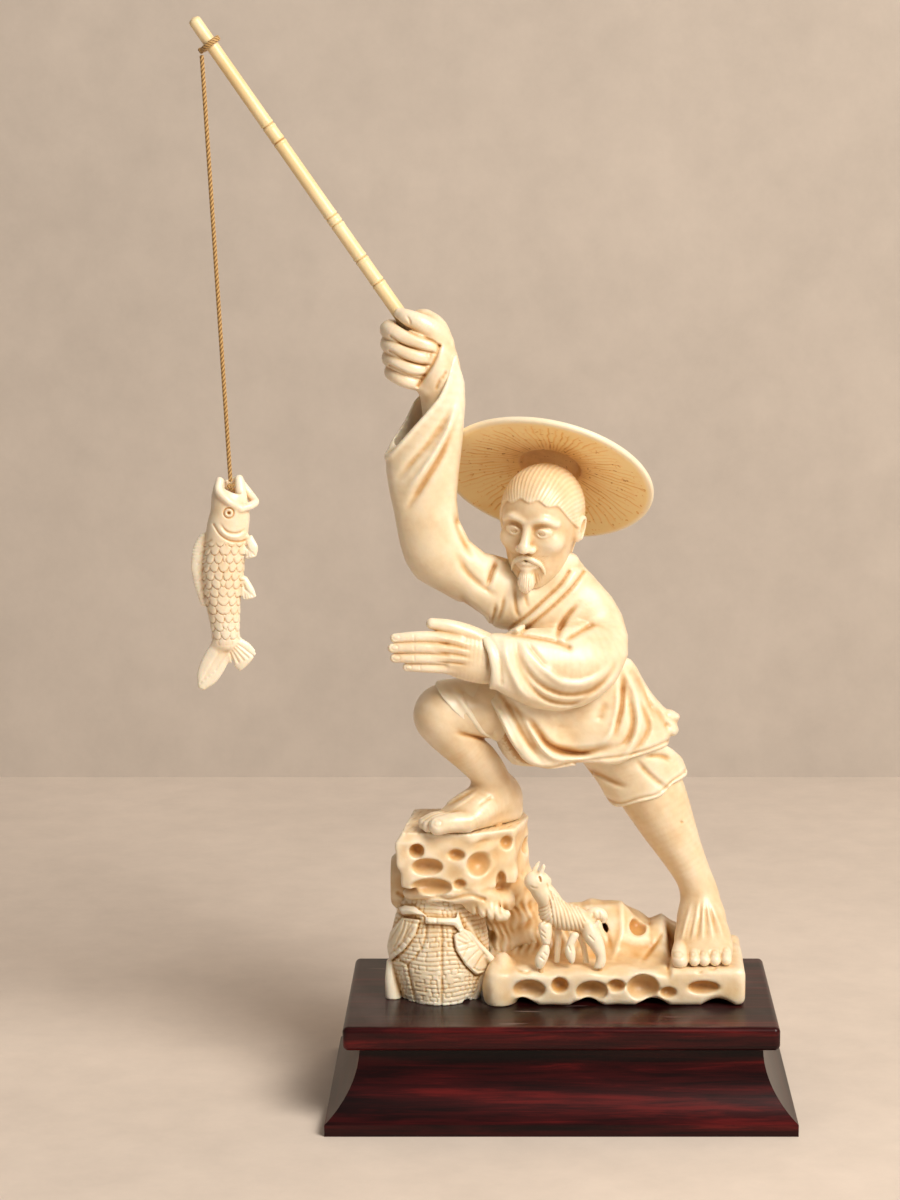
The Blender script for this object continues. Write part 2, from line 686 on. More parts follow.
# %% Upper robe: folds
ROBE_FOLDS = """
    groove 1 3.6: 451.4 408.4, 442.1 425, 425.5 447.2, 410.7 463.8, 397.7 480.5;
    groove 1.2 3.4: 449.5 436.1, 440.3 456.5, 429.2 474.9, 416.2 495.3, 407 510.1;
    ridge 1.2 3.2: 458.8 401, 444 438, 425.5 467.5, 407 491.6;
    groove 0.9 3.2: 454.2 510.1, 456.9 526.7, 464.3 543.4, 473.6 556.3;
    ridge full 0.7 3.6: 454.2 354.7, 451.4 367.7, 446.8 384.3, 439.4 399.1, 425.5 415.8,
        410.7 432.4, 397.7 447.2, 390.3 454.6, 385.7 456.5;
    groove full 0.75 1.7: 568.9 571.6, 559.5 585.3, 542.6 601.1, 527.9 614.7, 515.3 624.2,
        504.7 631.6;
    groove full 0.7 1.8: 583.7 571.6, 572.1 587.4, 555.3 604.2, 538.4 618.9, 521.6 632.6;
    ridge full 0.9 3.6: 576.3 571.6, 565.8 586.3, 548.9 602.5, 533.2 616.8, 517.4 628.8;
    groove 0.7 1.9: 515.3 585.3, 515.3 596.8, 516.3 609.5, 519.5 618.9;
    groove 0.6 1.9: 525.8 584.2, 524.7 592.6, 526.8 603.2, 528.9 608.4;
    groove 0.7 2.1: 504.7 594.7, 501.6 609.5, 496.3 624.2;
    groove 0.8 2: 496.3 603.2, 491.1 628.4;
    groove 1.6 2.8: 497.4 560, 491.1 573.7, 487.1 587.4;
    groove 0.9 3.6: 456.3 552.6, 466.8 571.6, 483.7 587.4, 498.4 595.8;
    groove 0.9 3.6: 459.5 593.7, 465.8 603.2, 475.3 611.6, 487.9 624.2;
    groove 1.3 3: 578.4 603.2, 565.8 617.9, 558.4 632.6, 556.9 642.1;
    groove 1.1 3: 596.3 624.2, 582.6 630.5, 570 637.9, 562.6 643.2;
    groove full 1 2.8: 473.2 634.7, 487.9 630.5, 508.9 634.1, 534.2 638.1, 555.3 642.3,
        568.9 647.4;
    ridge 1 4: 526.8 645.3, 538.4 662.1, 553.2 676.8, 565.8 683.2, 584.7 683.2, 601.6 674.7,
        610 664.2;
    groove 1.4 3.6: 517.4 641.1, 520.5 657.9, 530 674.7, 544.7 687.4, 565.8 694.7,
        588.9 691.6, 605.8 678.9, 616.3 662.1;
    ridge 0.9 3.6: 504.7 636.8, 506.8 657.9, 513.2 674.7, 521.6 691.6, 534.2 702.1;
    groove 1.2 3.2: 515.3 641.1, 517.4 657.9, 524.7 676.8, 538.4 693.7, 555.3 702.1,
        576.3 702.1, 597.4 691.6;
    groove 0.9 3: 525.8 641.1, 536.3 655.8, 548.9 671.6;
    groove full 0.4 1.6: 486.8 632.6, 496.3 647.4, 500.5 664.2, 501.6 683.2"""


def fold_at_back(block, folds):
    """Presses folds in from behind; their strokes have places of x and z in millimetres."""
    where, x, y, z = block.near_surface(3.0)
    rear = np.clip((y - 1.0) / 2.0, 0, 1)
    total = np.zeros_like(x)
    for _, depth, width, line in read_strokes(folds):
        distance, _, along, whole = line_offsets(line, x, z)
        fade = np.clip(np.minimum(along, whole - along) / (0.3 * whole) + 0.1, 0, 1)
        total += depth * fade * np.exp(-(distance / width)**2)
    block.field[where] += (total * rear).astype(np.float32)


press(block, ROBE_FOLDS, lambda x, z: np.where(z > 178, -6.0, 0.0))
fold_at_back(block, """
    back 1.6 1.3: -20 168, -8 160, 2 150, 6 138;
    back 1.4 1.2: -26 163, -14 153, -3 144, 0 136;
    back 1.3 1.1: 15 160, 10 152, 9 142, 12 134;
    back -1 1.5: -14 166, -2 156, 4 144, 8 136;
    back 1.2 1.2: -33 176, -24 172, -14 172;
    back 1.2 1.2: -36 186, -38 200, -42 212;
    back 1.1 1.2: -46 182, -47 196, -48 208;
    back 1.2 1.2: -12 170, -3 165, 6 168;
    back -0.9 1.4: -40 180, -42 195, -45 210""")
carve_out("robe_upper", block, IVORY, "robe_torso", "raised_sleeve", "lowered_sleeve")

# %% [markdown]
# ## The skirt and the short trousers
# The robe's skirt is caught up over the hips, and its folds fall in curves to one hem. Below it
# the short trousers end above the knees, each with a stitched double hem. They are three
# blocks, because they are three sections of the real carving.

# %% Skirt
SKIRT_FOLDS = """
    groove 1.1 3: 506.3 694.7, 517.9 713, 526.2 729.6, 536.2 746.1, 547.8 759.4;
    groove 1.9 3.4: 494.7 688.1, 506.3 703, 514.6 717.9, 522.9 734.5, 532.9 749.5,
        542.8 762.7;
    groove 2.6 4.2: 513 704.7, 527.9 719.6, 537.8 732.9, 547.8 744.5, 562.7 751.1,
        582.6 752.8, 602.5 748.6, 614.1 746.1;
    groove 0.7 4.6: 607.5 701.4, 601.7 711.3, 598.4 722.9;
    groove 1.6 3.2: 623.3 673.2, 622.4 689.8, 621.6 706.3, 617.4 722.9, 614.1 737.8;
    groove 1.1 3: 627.4 689.8, 630.7 706.3, 632.4 722.9, 627.4 739.5, 615.8 747.8;
    groove 0.9 3.4: 630.7 668.2, 640.7 684.8, 649 703, 655.6 719.6;
    groove 0.9 3.2: 637.3 698, 645.6 714.6, 648.1 729.6, 639 746.1, 629.1 757.7;
    groove 0.7 3.2: 653.9 706.3, 662.2 719.6, 668.9 732.9;
    groove 0.4 2.6: 665.5 708.8, 668.9 717.9, 678.8 722.9;
    groove 0.4 2.6: 663.9 722.9, 672.2 727.9;
    ridge 1.2 3.4: 479.8 688.1, 494.7 706.3, 504.7 726.2, 513 742.8, 519.6 754.4;
    ridge 1.5 4: 522.9 709.7, 532.9 729.6, 542.8 747.8, 556.1 757.7, 572.7 758.6,
        592.6 759.4;
    ridge 0.9 3: 619.1 678.1, 618.3 698, 615.8 717.9, 610.8 732.9, 599.2 746.1;
    ridge 0.8 3: 624.1 669.9, 635.7 694.7, 639 714.6, 637.3 732.9, 627.4 752.8, 619.1 762.7;
    groove full 0.5 1.8: 511.3 754.4, 526.2 763.5, 539.5 767.7, 556.1 766.9, 572.7 761.9,
        595.9 759.1, 622.4 756.1, 647.3 749.5, 667.2 741.2"""
SKIRT_OUTLINE = """
    627.4 655.8, 635.7 664.9, 641.5 676.5, 650.6 691.4, 658.9 701.4, 665.5 708.8, 672.2 709.7,
    678.8 713.8, 680.5 717.1, 676.3 722.9, 679.6 730.4, 675.5 736.2, 669.7 735.4, 668.9 745.3,
    660.6 749.5, 649 752.8, 639 756.1, 627.4 760.2, 615.8 765.2, 605.8 765.2, 595.9 762.7,
    582.6 761.9, 572.7 762.7, 577.6 766, 566 768.5, 553.3 771.2, 537.3 768.8, 524 763,
    517.3 750, 508.5 734, 501.3 717.5, 494 703, 482 690, 475 683, 480 668, 500 655, 560 640"""
block = Block((-28, -24, 104), (41, 24, 148), 0.37)
add_limb(block, """
    5 1 147 13 9, 8.5 1 139 18.6 12.5, 9 1.5 130 21 14, 10.5 2 121 24 15.5, 12 2.5 113 25 15.5,
    13 3 106 24 14.5""", blend=1.0)
add_ball(block, (30.0, 6.0, 120.0), (10.0, 10.0, 10.0), 4.0)
add_limb(block, """
    -6 -4 132 13 13, -12.5 -5.5 125 14.5 14.5, -12 -6 118 14.5 14, -9 -6 112 13 12.5,
    -6 -4 106 12 11""", blend=4.0)
trim(block, rounded(SKIRT_OUTLINE), 2.0)
press(block, SKIRT_FOLDS, 2.0)
fold_at_back(block, """
    back 1.5 1.3: -8 134, -6 122, -4 108;
    back 1.5 1.3: 2 135, 4 122, 8 108;
    back 1.4 1.3: 10 135, 15 122, 20 109;
    back 1.4 1.3: 18 134, 26 124, 32 113;
    back -1 1.6: 6 135, 10 122, 14 108""")
cut_below(block, 109.4)
carve_out("carved_skirt", block, IVORY, "robe_skirt")

# %% Trousers
STRAIGHT_FOLDS = """
    groove 0.9 3: 635.7 759.4, 647.3 772.7, 660.6 784.3, 668.9 789.3;
    groove 0.9 3: 644 756.1, 660.6 756.1, 672.2 761.1;
    groove 0.9 3: 582.6 766, 599.2 774.3, 619.1 784.3, 627.4 785.9;
    groove full 0.6 1.6: 607.5 799.2, 620.8 803.3, 639 798.4, 653.9 795.1, 662.2 790.1,
        672.2 781, 683.8 772.7, 688.8 765.2"""
BENT_FOLDS = """
    groove full 0.5 1.3: 465.9 715.2, 472 725.3, 480.8 737.3;
    groove 0.8 3: 460 688, 473.3 706.7, 485.3 725.3, 494.7 741.3;
    ridge 0.5 3: 449.9 685.9, 463.2 702.7, 473.9 720, 486.7 738.7"""
STRAIGHT_OUTLINE = """
    581 750, 581 766, 589.3 772.7, 599.2 784.3, 605.8 797.5, 612.5 805.8, 619.1 807.5,
    639 802.5, 653.9 799.2, 662.2 795.9, 670.5 787.6, 672.2 784.3, 682.1 779.3, 688.8 774.3,
    692.1 767.7, 688.8 759.4, 678.8 754.4, 668.9 746.1, 640 735"""


def cut_past(block, point, way, blend=0.3):
    """Takes away what lies beyond a plane: the offset from its point along its way."""
    way = np.asarray(way, float) / np.linalg.norm(way)
    past = ((block.x - point[0]) * way[0])[:, None, None] \
        + ((block.y - point[1]) * way[1])[None, :, None] \
        + ((block.z - point[2]) * way[2])[None, None, :]
    block.field[...] = -soft_least(-block.field, -past.astype(np.float32), blend)


block = Block((-43, -26, 104), (8, 12, 139), 0.34)
add_limb(block, seen("""
    590 714 1 8, 540 718 -1 9, 500 711 -4.5 10.1, 462 710 -9.6 9.95, 440 712 -12 9.8,
    420 716 -13 9.8"""), (0, 0, 1), 1.0)
press(block, BENT_FOLDS, -2.0)
cut_past(block, under_pixel(464.5, 719.0, -18.0), (-0.70, 0.10, -0.66))
carve_out("carved_bent_trouser", block, IVORY, "bent_trouser")

block = Block((4, -10, 88), (42, 20, 114), 0.32)
add_limb(block, """
    20 4 114 15 12.5, 24 5 106 14.5 11.5, 27.5 5.5 98 14 11, 30 6.5 90 13.5 10.5""",
         (1, 0, 0.3), 1.0)
trim(block, rounded(STRAIGHT_OUTLINE), 1.2)
press(block, STRAIGHT_FOLDS, 5.0)
cut_limb(block, "28 5.8 99 7.6 7.6, 33 7 88 8 8", (1, 0, 0.3), 0.4)
carve_out("carved_straight_trouser", block, IVORY, "straight_trouser")

# %% [markdown]
# ## Legs and feet
# The bare legs are smooth, so a few oval sections make them. The toes are short limbs of their
# own, set close enough to leave a fine line between them, and each nail is a shallow ring.
# Positions that come from the photograph are written as a column, a row and a depth.

# %% Bent leg
block = Block((-50, -27, 86), (-7, 14, 137), 0.32)
add_limb(block, seen("""
    492 708 -7 9.4, 462 711 -10.4 9.3, 443.5 713.5 -12 9.2, 447 723 -11.6 8.6,
    456 735.5 -10.4 7.6, 471 752.5 -7.6 6.5, 485.5 769 -4.8 5.9, 492.5 784 -2.8 6.1"""),
         (1, 0, 0.6), 1.2)
add_ball(block, (-18.6, 2.0, 96.6), (5.6, 7.0, 7.2), 3.0)
add_ball(block, (-16.6, 5.6, 94.2), (4.6, 5.6, 5.4), 2.5)
add_limb(block, """
    -19.5 0.5 96.5 5.8 7.2, -24.5 -4.5 96 7.2 6.2, -29.5 -8.8 94 8.2 4.7, -33 -11 92.4 8 3.4""",
         (-0.66, 0.75, 0), 2.5)
add_limb(block, """
    -16 4.5 91.4 4.6 3.4, -23 -2 91.2 5.6 3.2, -31 -9 91 6.6 2.8""",
         (-0.66, 0.75, 0), 1.5)
for toe, radius in (("""
        -29.5 -14.2 92.3, -34 -15.8 92.4, -38.4 -16.8 91.6""", 3.1),
                    ("""
        -32 -11.8 92.3, -37.5 -13.4 92.7, -41.4 -14.2 90.9""", 2.15),
                    ("-33.5 -9.4 92.2, -39 -10.8 92.5, -42.6 -11.5 90.8", 2.05),
                    ("-34 -7 92, -39.6 -8.2 92.1, -43 -8.7 90.7", 1.95),
                    ("-34 -4.6 91.6, -39.3 -5.6 91.6, -42.3 -6.2 90.6", 1.85)):
    add_limb(block, [p + (radius * s,) for p, s in zip(read_rows(toe), (1.1, 1.0, 0.92))],
             (0, 0, 1), 0.35)
press(block, """
    groove 0.7 2.2: 454.5 732.7, 467.9 735.2, 482.4 738.8, 493.3 744.8;
    ridge 0.35 1.8: 465.5 784.8, 452 791, 436 799;
    ridge 0.35 1.8: 472.7 787.3, 456 796, 438 807;
    ridge 0.35 1.8: 477.6 790.9, 464 801, 447 812;
    groove 0.3 1.6: 470 786, 455 793, 437 802.5;
    groove 0.3 1.6: 476 790, 460 799, 443 809;
    groove 0.4 1.6: 478 806, 492 797;
    nail 437.6 823.4 4.2 3.4""", 4.0)
cut_below(block, 88.75)
carve_out("carved_bent_leg", block, SKIN_IVORY, "bent_leg")

# %% Standing leg
block = Block((16, -18, 43), (57, 22, 111), 0.36)
add_limb(block, """
    24 5 106 11 10, 28.8 6 97.6 10.6 10, 33.4 6.8 88 9 9.2, 37.8 7.5 79 7.2 8,
    42.2 8 70 5.9 6.8, 44.5 8 63.5 6.1 6.8, 45.2 6 57.5 7 7""", (1, 0, 0.4), 1.0)
add_ball(block, (45.0, 10.0, 50.5), (6.6, 7.0, 6.4), 3.0)
add_limb(block, """
    45.2 5 55 7.6 6.6, 45.3 0 52.2 8.8 5.8, 45.3 -5 49.6 9.4 4.4, 45.2 -8.6 48 9.2 3""", blend=2.5)
for x, radius in ((37.6, 2.65), (42.1, 1.75), (45.3, 1.8), (48.7, 1.85), (52.2, 1.75)):
    back_by = 0.09 * abs(x - 41.0)
    add_limb(block, [(45.2 + 0.9 * (x - 45.2), -5.5, 49.4, radius),
                     (x, -10.2 + back_by, 48.6, radius),
                     (x, -12.9 + back_by, 46.9, radius * 0.98)], blend=0.3)
press(block, """
    ridge 0.4 1.7: 691.5 903, 686 922, 681 942;
    ridge 0.4 1.5: 699.2 899.2, 695 920, 691.5 940.5;
    ridge 0.4 1.5: 703.8 900.7, 703 920, 702.3 940.5;
    ridge 0.4 1.5: 706.8 900.7, 710 920, 713 939;
    ridge 0.4 1.6: 709.9 900.7, 717 920, 723.5 937.5;
    groove 0.35 1.7: 697 908, 689 940;
    groove 0.35 1.7: 701.5 906, 697 941;
    groove 0.35 1.7: 705.5 906, 707.5 940;
    groove 0.35 1.7: 708.5 906, 718 939;
    groove full 0.5 1.2: 681.2 821.9, 682 822.5;
    nail 677.8 955 4.6 3;
    nail 692.4 954.4 2.6 2.2;
    nail 702.6 953.4 2.6 2.2;
    nail 713.8 952.4 2.7 2.2;
    nail 725.6 950 2.4 2""", 6.0)
cut_below(block, 45.05)
carve_out("carved_standing_leg", block, SKIN_IVORY, "standing_leg")

# %% [markdown]
# ## The two hands
# The open hand points to the left with its fingers side by side, nails towards the viewer. The
# fist closes round the rod: four rolled fingers, a thumb over the top and the back of the hand
# running down into the sleeve. Both are built from limbs, then lines are pressed in.

# %% Open hand
block = Block((-56, -32, 132), (-8, -14, 162), 0.24)
add_limb(block, """
    -10 -20 144.4 6.4 4.6, -16 -21.8 145 7 4.8, -22 -23.6 145.6 7.6 4.8, -28 -25 146.8 7.7 4.2,
    -33.5 -26 148.1 7 3.3""", (0, 0, 1), 1.0)
for joints in read_lists("""
        -31 -26.2 152.2 2.3, -38 -27.2 153.3 1.9, -44 -27.9 153.6 1.75, -50.8 -28.2 153.3 1.4;
        -31 -26.8 149.4 2.3, -38 -27.8 150 1.9, -44 -28.4 150.4 1.8, -51.6 -28.4 150.2 1.45;
        -31 -26.8 146.6 2.3, -38 -27.6 146.9 1.9, -44 -28.2 147.2 1.75, -50.9 -28.2 147.1 1.4;
        -31 -26 143.6 2.2, -37 -26.8 143.9 1.8, -42 -27.4 144.1 1.6, -47.2 -27.6 144.2 1.3;
        -22 -23.6 150.5 3.2, -28 -24.6 153.8 2.8, -34 -25.6 156.2 2.3, -39.6 -26.2 157.4 1.75"""):
    add_limb(block, joints, (0, 0, 1), 0.4)
press(block, """
    groove 0.35 1.2: 436 642, 452 645, 468 649;
    groove 0.35 1.2: 436 652, 452 654, 470 657;
    groove 0.35 1.2: 436 662, 452 663, 468 665;
    ridge 0.3 1.5: 434 637, 452 640, 470 645;
    ridge 0.3 1.5: 434 647, 452 649, 472 653;
    ridge 0.3 1.5: 434 657, 452 658.5, 472 661;
    groove 0.16 0.8: 414 634, 414.5 641;
    groove 0.16 0.8: 414 645, 414.5 651;
    groove 0.16 0.8: 414 655, 414.5 661;
    groove 0.16 0.8: 420 665, 420.5 671;
    groove 0.5 2.2: 486 640, 489 655, 488 672;
    nail 396.5 637.4 3.6 2.5;
    nail 394.6 647.6 3.6 2.6;
    nail 396.5 658 3.6 2.5;
    nail 408.6 667.6 3.2 2.3""", -24.0)
carve_out("carved_open_hand", block, SKIN_IVORY, "open_hand")

# %% Fist
block = Block((-58, -20, 206), (-28, 3, 256), 0.26)
add_limb(block, seen("""
    424 324 -8.5 4.6, 430 334 -9 6, 433 350 -9 6.6, 437 368 -9 7.1, 440 388 -8.5 6.6,
    441 408 -8.5 5.9, 442 432 -8.5 5.6"""), blend=1.0)
add_ball(block, under_pixel(410, 350, -7.0), (6.6, 5.6, 11.0), 2.0)
for roll in read_lists("""
        395 329 -4 2.9, 389.5 329.5 -8.5 3, 395 333.5 -13 2.7, 411 339.5 -14.6 2.7,
          426 345.5 -14.6 2.6, 434 348 -13 2.3;
        396 343 -3 2.9, 390 343.5 -8.5 3, 394 347.5 -13 2.6, 406 352.8 -14.8 2.6,
          420 357.2 -14.8 2.5, 430 359 -13.2 2.2;
        397 357 -3 2.8, 391 357.8 -8.5 2.9, 395 361.4 -13 2.5, 406 366.6 -14.6 2.5,
          417 369.6 -14.4 2.4, 426 370.4 -12.8 2.1;
        399 371 -4 2.6, 393 371.8 -8.5 2.7, 396 375.5 -12.4 2.3, 404 379.8 -13.6 2.3,
          413 382.6 -13.2 2.2, 420 382.6 -11.6 1.9"""):
    add_limb(block, seen(roll), (0, 0, 1), 0.35)
add_limb(block, seen("""
    400 313.6 -11.5 1.8, 408 317.6 -12.8 2.5, 420 323 -13.2 3, 431 331 -11.8 3.8, 438 345 -9.6 5"""),
         (0, 0, 1), 0.6)
add_limb(block, seen("428 386 -11.5 3.6, 436 372 -13 3.6, 438 354 -12.4 3.2"), blend=1.6)
FIST_LINES = """
    groove full 0.5 1.2: 390.3 336, 404.1 345.1, 420.9 349.7, 434.7 353.2;
    groove full 0.5 1.2: 389.5 350.5, 405.6 359.7, 417.8 363.5, 429.3 365;
    groove full 0.5 1.2: 389.5 365, 407.1 373.5, 417.8 375.4, 424.7 375;
    groove full 0.8 1.8: 439.3 345.9, 435.4 358.1, 428.6 370.4, 422.4 378.8, 417.8 385.7;
    groove full 0.6 1.4: 398 323, 407.1 330.6, 417.8 336, 431.6 340.6, 439.3 345.9;
    groove 0.5 1.6: 446.9 370.4, 440.8 380.3;
    groove 0.5 1.6: 440.8 378, 435.4 390.3;
    groove 0.35 1: 406.4 315.3, 409.4 319.9, 411 325.2"""
cut_limb(block, "-39 -7.73 235 2.5, -62 -7.73 268.2 2.5", (0, 1, 0), 0.15)
press(block, FIST_LINES, -8.0)
carve_out("carved_fist", block, SKIN_IVORY, "raised_fist")

# %% [markdown]
# ## The head
# The face is a plain calm one on a carver's usual proportions: the eyes half-way up, the nose
# half-way from there to the chin, the mouth a third of the way on. It is carved in the head's
# own frame, with the face towards minus Y, and then turned to its place. The hair is combed
# back from the brow in fine ridges, and there is a moustache with a short pointed beard.

# %% Head
HEAD_MIDDLE = np.array([-6.1, -5.0, 185.1])
FACING = np.array([-0.342, -0.936, -0.081])
HEAD_UP = np.array([0.036, -0.099, 0.995])
HEAD_UP = HEAD_UP - FACING * (HEAD_UP @ FACING) / (FACING @ FACING)
HEAD_UP, FACING = HEAD_UP / np.linalg.norm(HEAD_UP), FACING / np.linalg.norm(FACING)
LEFT_SIDE = np.cross(FACING, HEAD_UP)
HEAD_TURN = np.array([-LEFT_SIDE, -FACING, HEAD_UP])
if np.linalg.det(HEAD_TURN) < 0:
    HEAD_TURN[0] = -HEAD_TURN[0]

block = Block((-16, -20, -25), (16, 20, 20), 0.26)
add_ball(block, (0, 2.2, 4.0), (11.9, 14.2, 13.6), 1.0)
add_limb(block, """
    0 -1.5 5 11.2 11.6, 0 -2 -3 10.7 11, 0 -3.4 -9 9 9.2, 0 -5.2 -12.6 6.2 7""", blend=3.0)
add_limb(block, "0 3.5 -8 8 8, 0 4 -16 7.4 7.4, 0 4.5 -24 8 7.6", blend=3.0)


def on_side(side, rows):
    """Rows of a limb on one side of the face, from those on its left."""
    return [(side * r[0], *r[1:]) for r in read_rows(rows)]


for side in (-1, 1):
    add_limb(block, on_side(side, "1.6 -12.9 3.2 1, 5 -12.6 4.2 1.15, 8.4 -9.9 2.8 0.9"),
             blend=1.6)
    cut_ball(block, (side * 4.7, -13.9, 0.9), (3.5, 2.3, 2.1), 1.6)
    add_ball(block, (side * 6.6, -9.0, -3.2), (3.3, 2.8, 2.8), 3.0)
    # eyeball, the two lids and the slit between them
    add_ball(block, (side * 4.7, -11.0, 0.4), (2.6, 1.9, 1.6), 0.5)
    add_limb(block, on_side(side, "2.4 -12.2 0 0.35, 4.4 -12.85 1 0.48, 7.1 -11.4 0.3 0.35"),
             blend=0.5)
    add_limb(block, on_side(side, "2.5 -12.2 -0.3 0.3, 4.6 -12.6 -1 0.4, 6.9 -11.5 -0.3 0.3"),
             blend=0.5)
    # ear: an oval with a rim and a hollow
    add_ball(block, (side * 11.9, 0.4, -0.6), (1.5, 2.7, 4.1), 0.8)
    add_limb(block, on_side(side, """
        12.6 -1.4 -0.5 0.6, 13 -0.6 2.6 0.75, 13.2 1.6 2.8 0.8,
        13 2.4 0 0.7, 12.6 0.9 -3.2 0.8"""), blend=0.4)
    cut_ball(block, (side * 13.3, 0.4, 0.3), (0.8, 1.4, 2.2), 0.5)
add_limb(block, "0 -12.6 2.4 1.15, 0 -13.7 -0.8 1.35, 0 -14.9 -3.8 1.7", blend=1.3)
add_ball(block, (0, -15.4, -4.7), (1.9, 1.75, 1.6), 1.0)
for side in (-1, 1):
    add_ball(block, (side * 2.0, -13.9, -5.1), (1.35, 1.5, 1.2), 0.7)
    cut_ball(block, (side * 1.05, -15.2, -6.3), (0.62, 0.75, 0.5), 0.3)
# lips, with the line of the mouth between them
add_limb(block, """
    -3.3 -11.9 -10.3 0.5, -1.2 -13.1 -9.7 0.75, 0 -13.2 -9.9 0.7, 1.2 -13.1 -9.7 0.75,
    3.3 -11.9 -10.3 0.5""", blend=0.8)
add_limb(block, """
    -2.7 -12 -10.9 0.5, 0 -12.9 -11.6 0.95, 2.7 -12 -10.9 0.5""", blend=0.8)
cut_limb(block, """
    -3.3 -12.9 -10.5 0.22, 0 -14 -10.7 0.26, 3.3 -12.9 -10.5 0.22""", blend=0.2)
# hair, moustache and beard are raised a little, then combed with fine grooves
where, x, y, z = block.near_surface(4.0)
hairline = 9.8 - 0.028 * x * x - 0.62 * np.clip(y + 9.5, 0, 30) - 0.5 * np.cos(x * 1.1) \
    - np.where(y > 4, 9.0, 0)
in_hair = np.clip((z - hairline) / 0.7 + 0.5, 0, 1) * np.clip((13.3 - np.abs(x)) / 0.6, 0, 1)
round_head = np.arctan2(x, z + 2.0)
comb = 0.5 + 0.5 * np.cos(round_head * 78 + 0.9 * np.sin(y * 0.33 + x * 0.3))
block.field[where] += (in_hair * (0.13 * comb - 0.56)).astype(np.float32)
for side in (-1, 1):
    add_limb(block, on_side(side, """
        0.5 -13.5 -7.9 0.85, 2.4 -13.1 -8.6 0.95, 4.3 -11.9 -10 0.75,
        5.2 -10.9 -12 0.45, 5.4 -10.6 -13.2 0.25"""), blend=0.5)
add_limb(block, """
    0 -11.6 -13 2.1, 0 -12.1 -15.2 2.8, 0 -12.4 -17 2.4, 0.2 -12.4 -18.5 1.2""",
         (1, 0, 0), 0.8)
where, x, y, z = block.near_surface(2.0)
beard = np.clip((-12.4 - z) / 0.8, 0, 1) * np.clip((4.2 - np.abs(x)) / 0.5, 0, 1) \
    * np.clip((-9.0 - y) / 1.0, 0, 1)
lip_hair = np.clip((-7.0 - z) / 0.5, 0, 1) \
    * np.clip((z + 9.9 + 0.42 * np.abs(x)) / 0.8, 0, 1) * np.clip((-10.4 - y) / 0.6, 0, 1)
fine = 0.5 + 0.5 * np.cos(x * 9.5 + 0.9 * np.sin(z * 0.9))
slanted = 0.5 + 0.5 * np.cos((np.abs(x) * 0.75 - z * 1.1) * 7.5)
block.field[where] += (beard * 0.30 * fine + lip_hair * 0.22 * slanted).astype(np.float32)
# the iris and the pupil are a ring and a dot cut in each eyeball
where, x, y, z = block.near_surface(1.0)
from_pupil = np.hypot(np.abs(x) - 4.5, z - 0.05)
looking = (y < -11.5) & (np.abs(z) < 1.2)
block.field[where] += (looking * (0.22 * np.exp(-((from_pupil - 0.85) / 0.22)**2)
                                       + 0.35 * np.exp(-(from_pupil / 0.32)**2))).astype(np.float32)
# the knot of hair behind, which seats the hat
add_limb(block, "0 11 7.5 4, 0.4 14.6 8.6 3.4", blend=1.2)

points, faces, stains = skin(block)
points = HEAD_MIDDLE + points @ HEAD_TURN
head = show("carved_head", points, faces, stains)
in_place(head, "carving", "ivory_look_resin", SKIN_IVORY, "head")

# %% [markdown]
# ## The hat
# The hat is a shallow dish turned on its axis, thin at the rim, with a raised crown. Underneath
# it is cut with seventy-two fine rays from the crown to the rim, wavy and uneven, because they
# stand for straw. A turned surface fits it: one profile goes round the axis. The rays are a
# wave of the angle, pressed in a tenth of a millimetre and kept as a number for the stain.

# %% Hat
HAT_MIDDLE = np.array([-4.54, 6.03, 198.12])
HAT_AXIS = np.array([0.204, 0.656, 0.727]) / np.linalg.norm([0.204, 0.656, 0.727])


def across(axis):
    """Two directions square to an axis and to each other."""
    first = np.cross(axis, (0, 0, 1.0) if abs(axis[2]) < 0.9 else (1.0, 0, 0))
    first = first / np.linalg.norm(first)
    return first, np.cross(axis, first)


HAT_CURVE = 75.0                      # millimetres: the radius of its hollow
HAT_EDGE = 31.7                       # where the dish ends and the rim starts
CROWN_SIDE = 9.9                      # where the hollow of the crown starts


def dish(radius):
    """Height of the underside: a part of a circle and a soft cone, both zero at the rim."""
    return np.sqrt(HAT_CURVE**2 - (radius * 0.62)**2) \
        - np.sqrt(HAT_CURVE**2 - (HAT_EDGE * 0.62)**2) \
        + 7.0 * (1 - (radius / HAT_EDGE)**1.15) * 0.66


steps_round, ray_count = (576), 72
low_side = np.concatenate([np.linspace(0.02, 8.2, 8), np.linspace(9.0, HAT_EDGE, 60)])
crown_height = dish(CROWN_SIDE) + 2.2 * np.clip((CROWN_SIDE - low_side) / 1.5, 0, 1)
low_height = np.where(low_side < CROWN_SIDE, crown_height, dish(low_side))
turn = np.linspace(-np.pi / 2, np.pi / 2, 9)[1:-1]
rim_side, rim_height = 32.6 + 1.25 * np.cos(turn), dish(HAT_EDGE) + 1.15 + 1.15 * np.sin(turn)
high_side = np.linspace(HAT_EDGE, 0.02, 36)
high_height = dish(high_side) + 2.3 + 2.6 * np.clip((12.5 - high_side) / 3.0, 0, 1)
profile_side = np.concatenate([low_side, rim_side, high_side])
profile_height = np.concatenate([low_height, rim_height, high_height])
angle = np.linspace(0, 2 * np.pi, steps_round, endpoint=False)
side, angle_grid = np.meshgrid(profile_side, angle, indexing="ij")
height = np.repeat(profile_height[:, None], steps_round, axis=1)
random = np.random.default_rng(7)
strength = random.uniform(0.35, 1.0, ray_count)
reach_in = random.uniform(10.0, 20.0, ray_count)
reach_out = random.uniform(27.0, 32.0, ray_count)
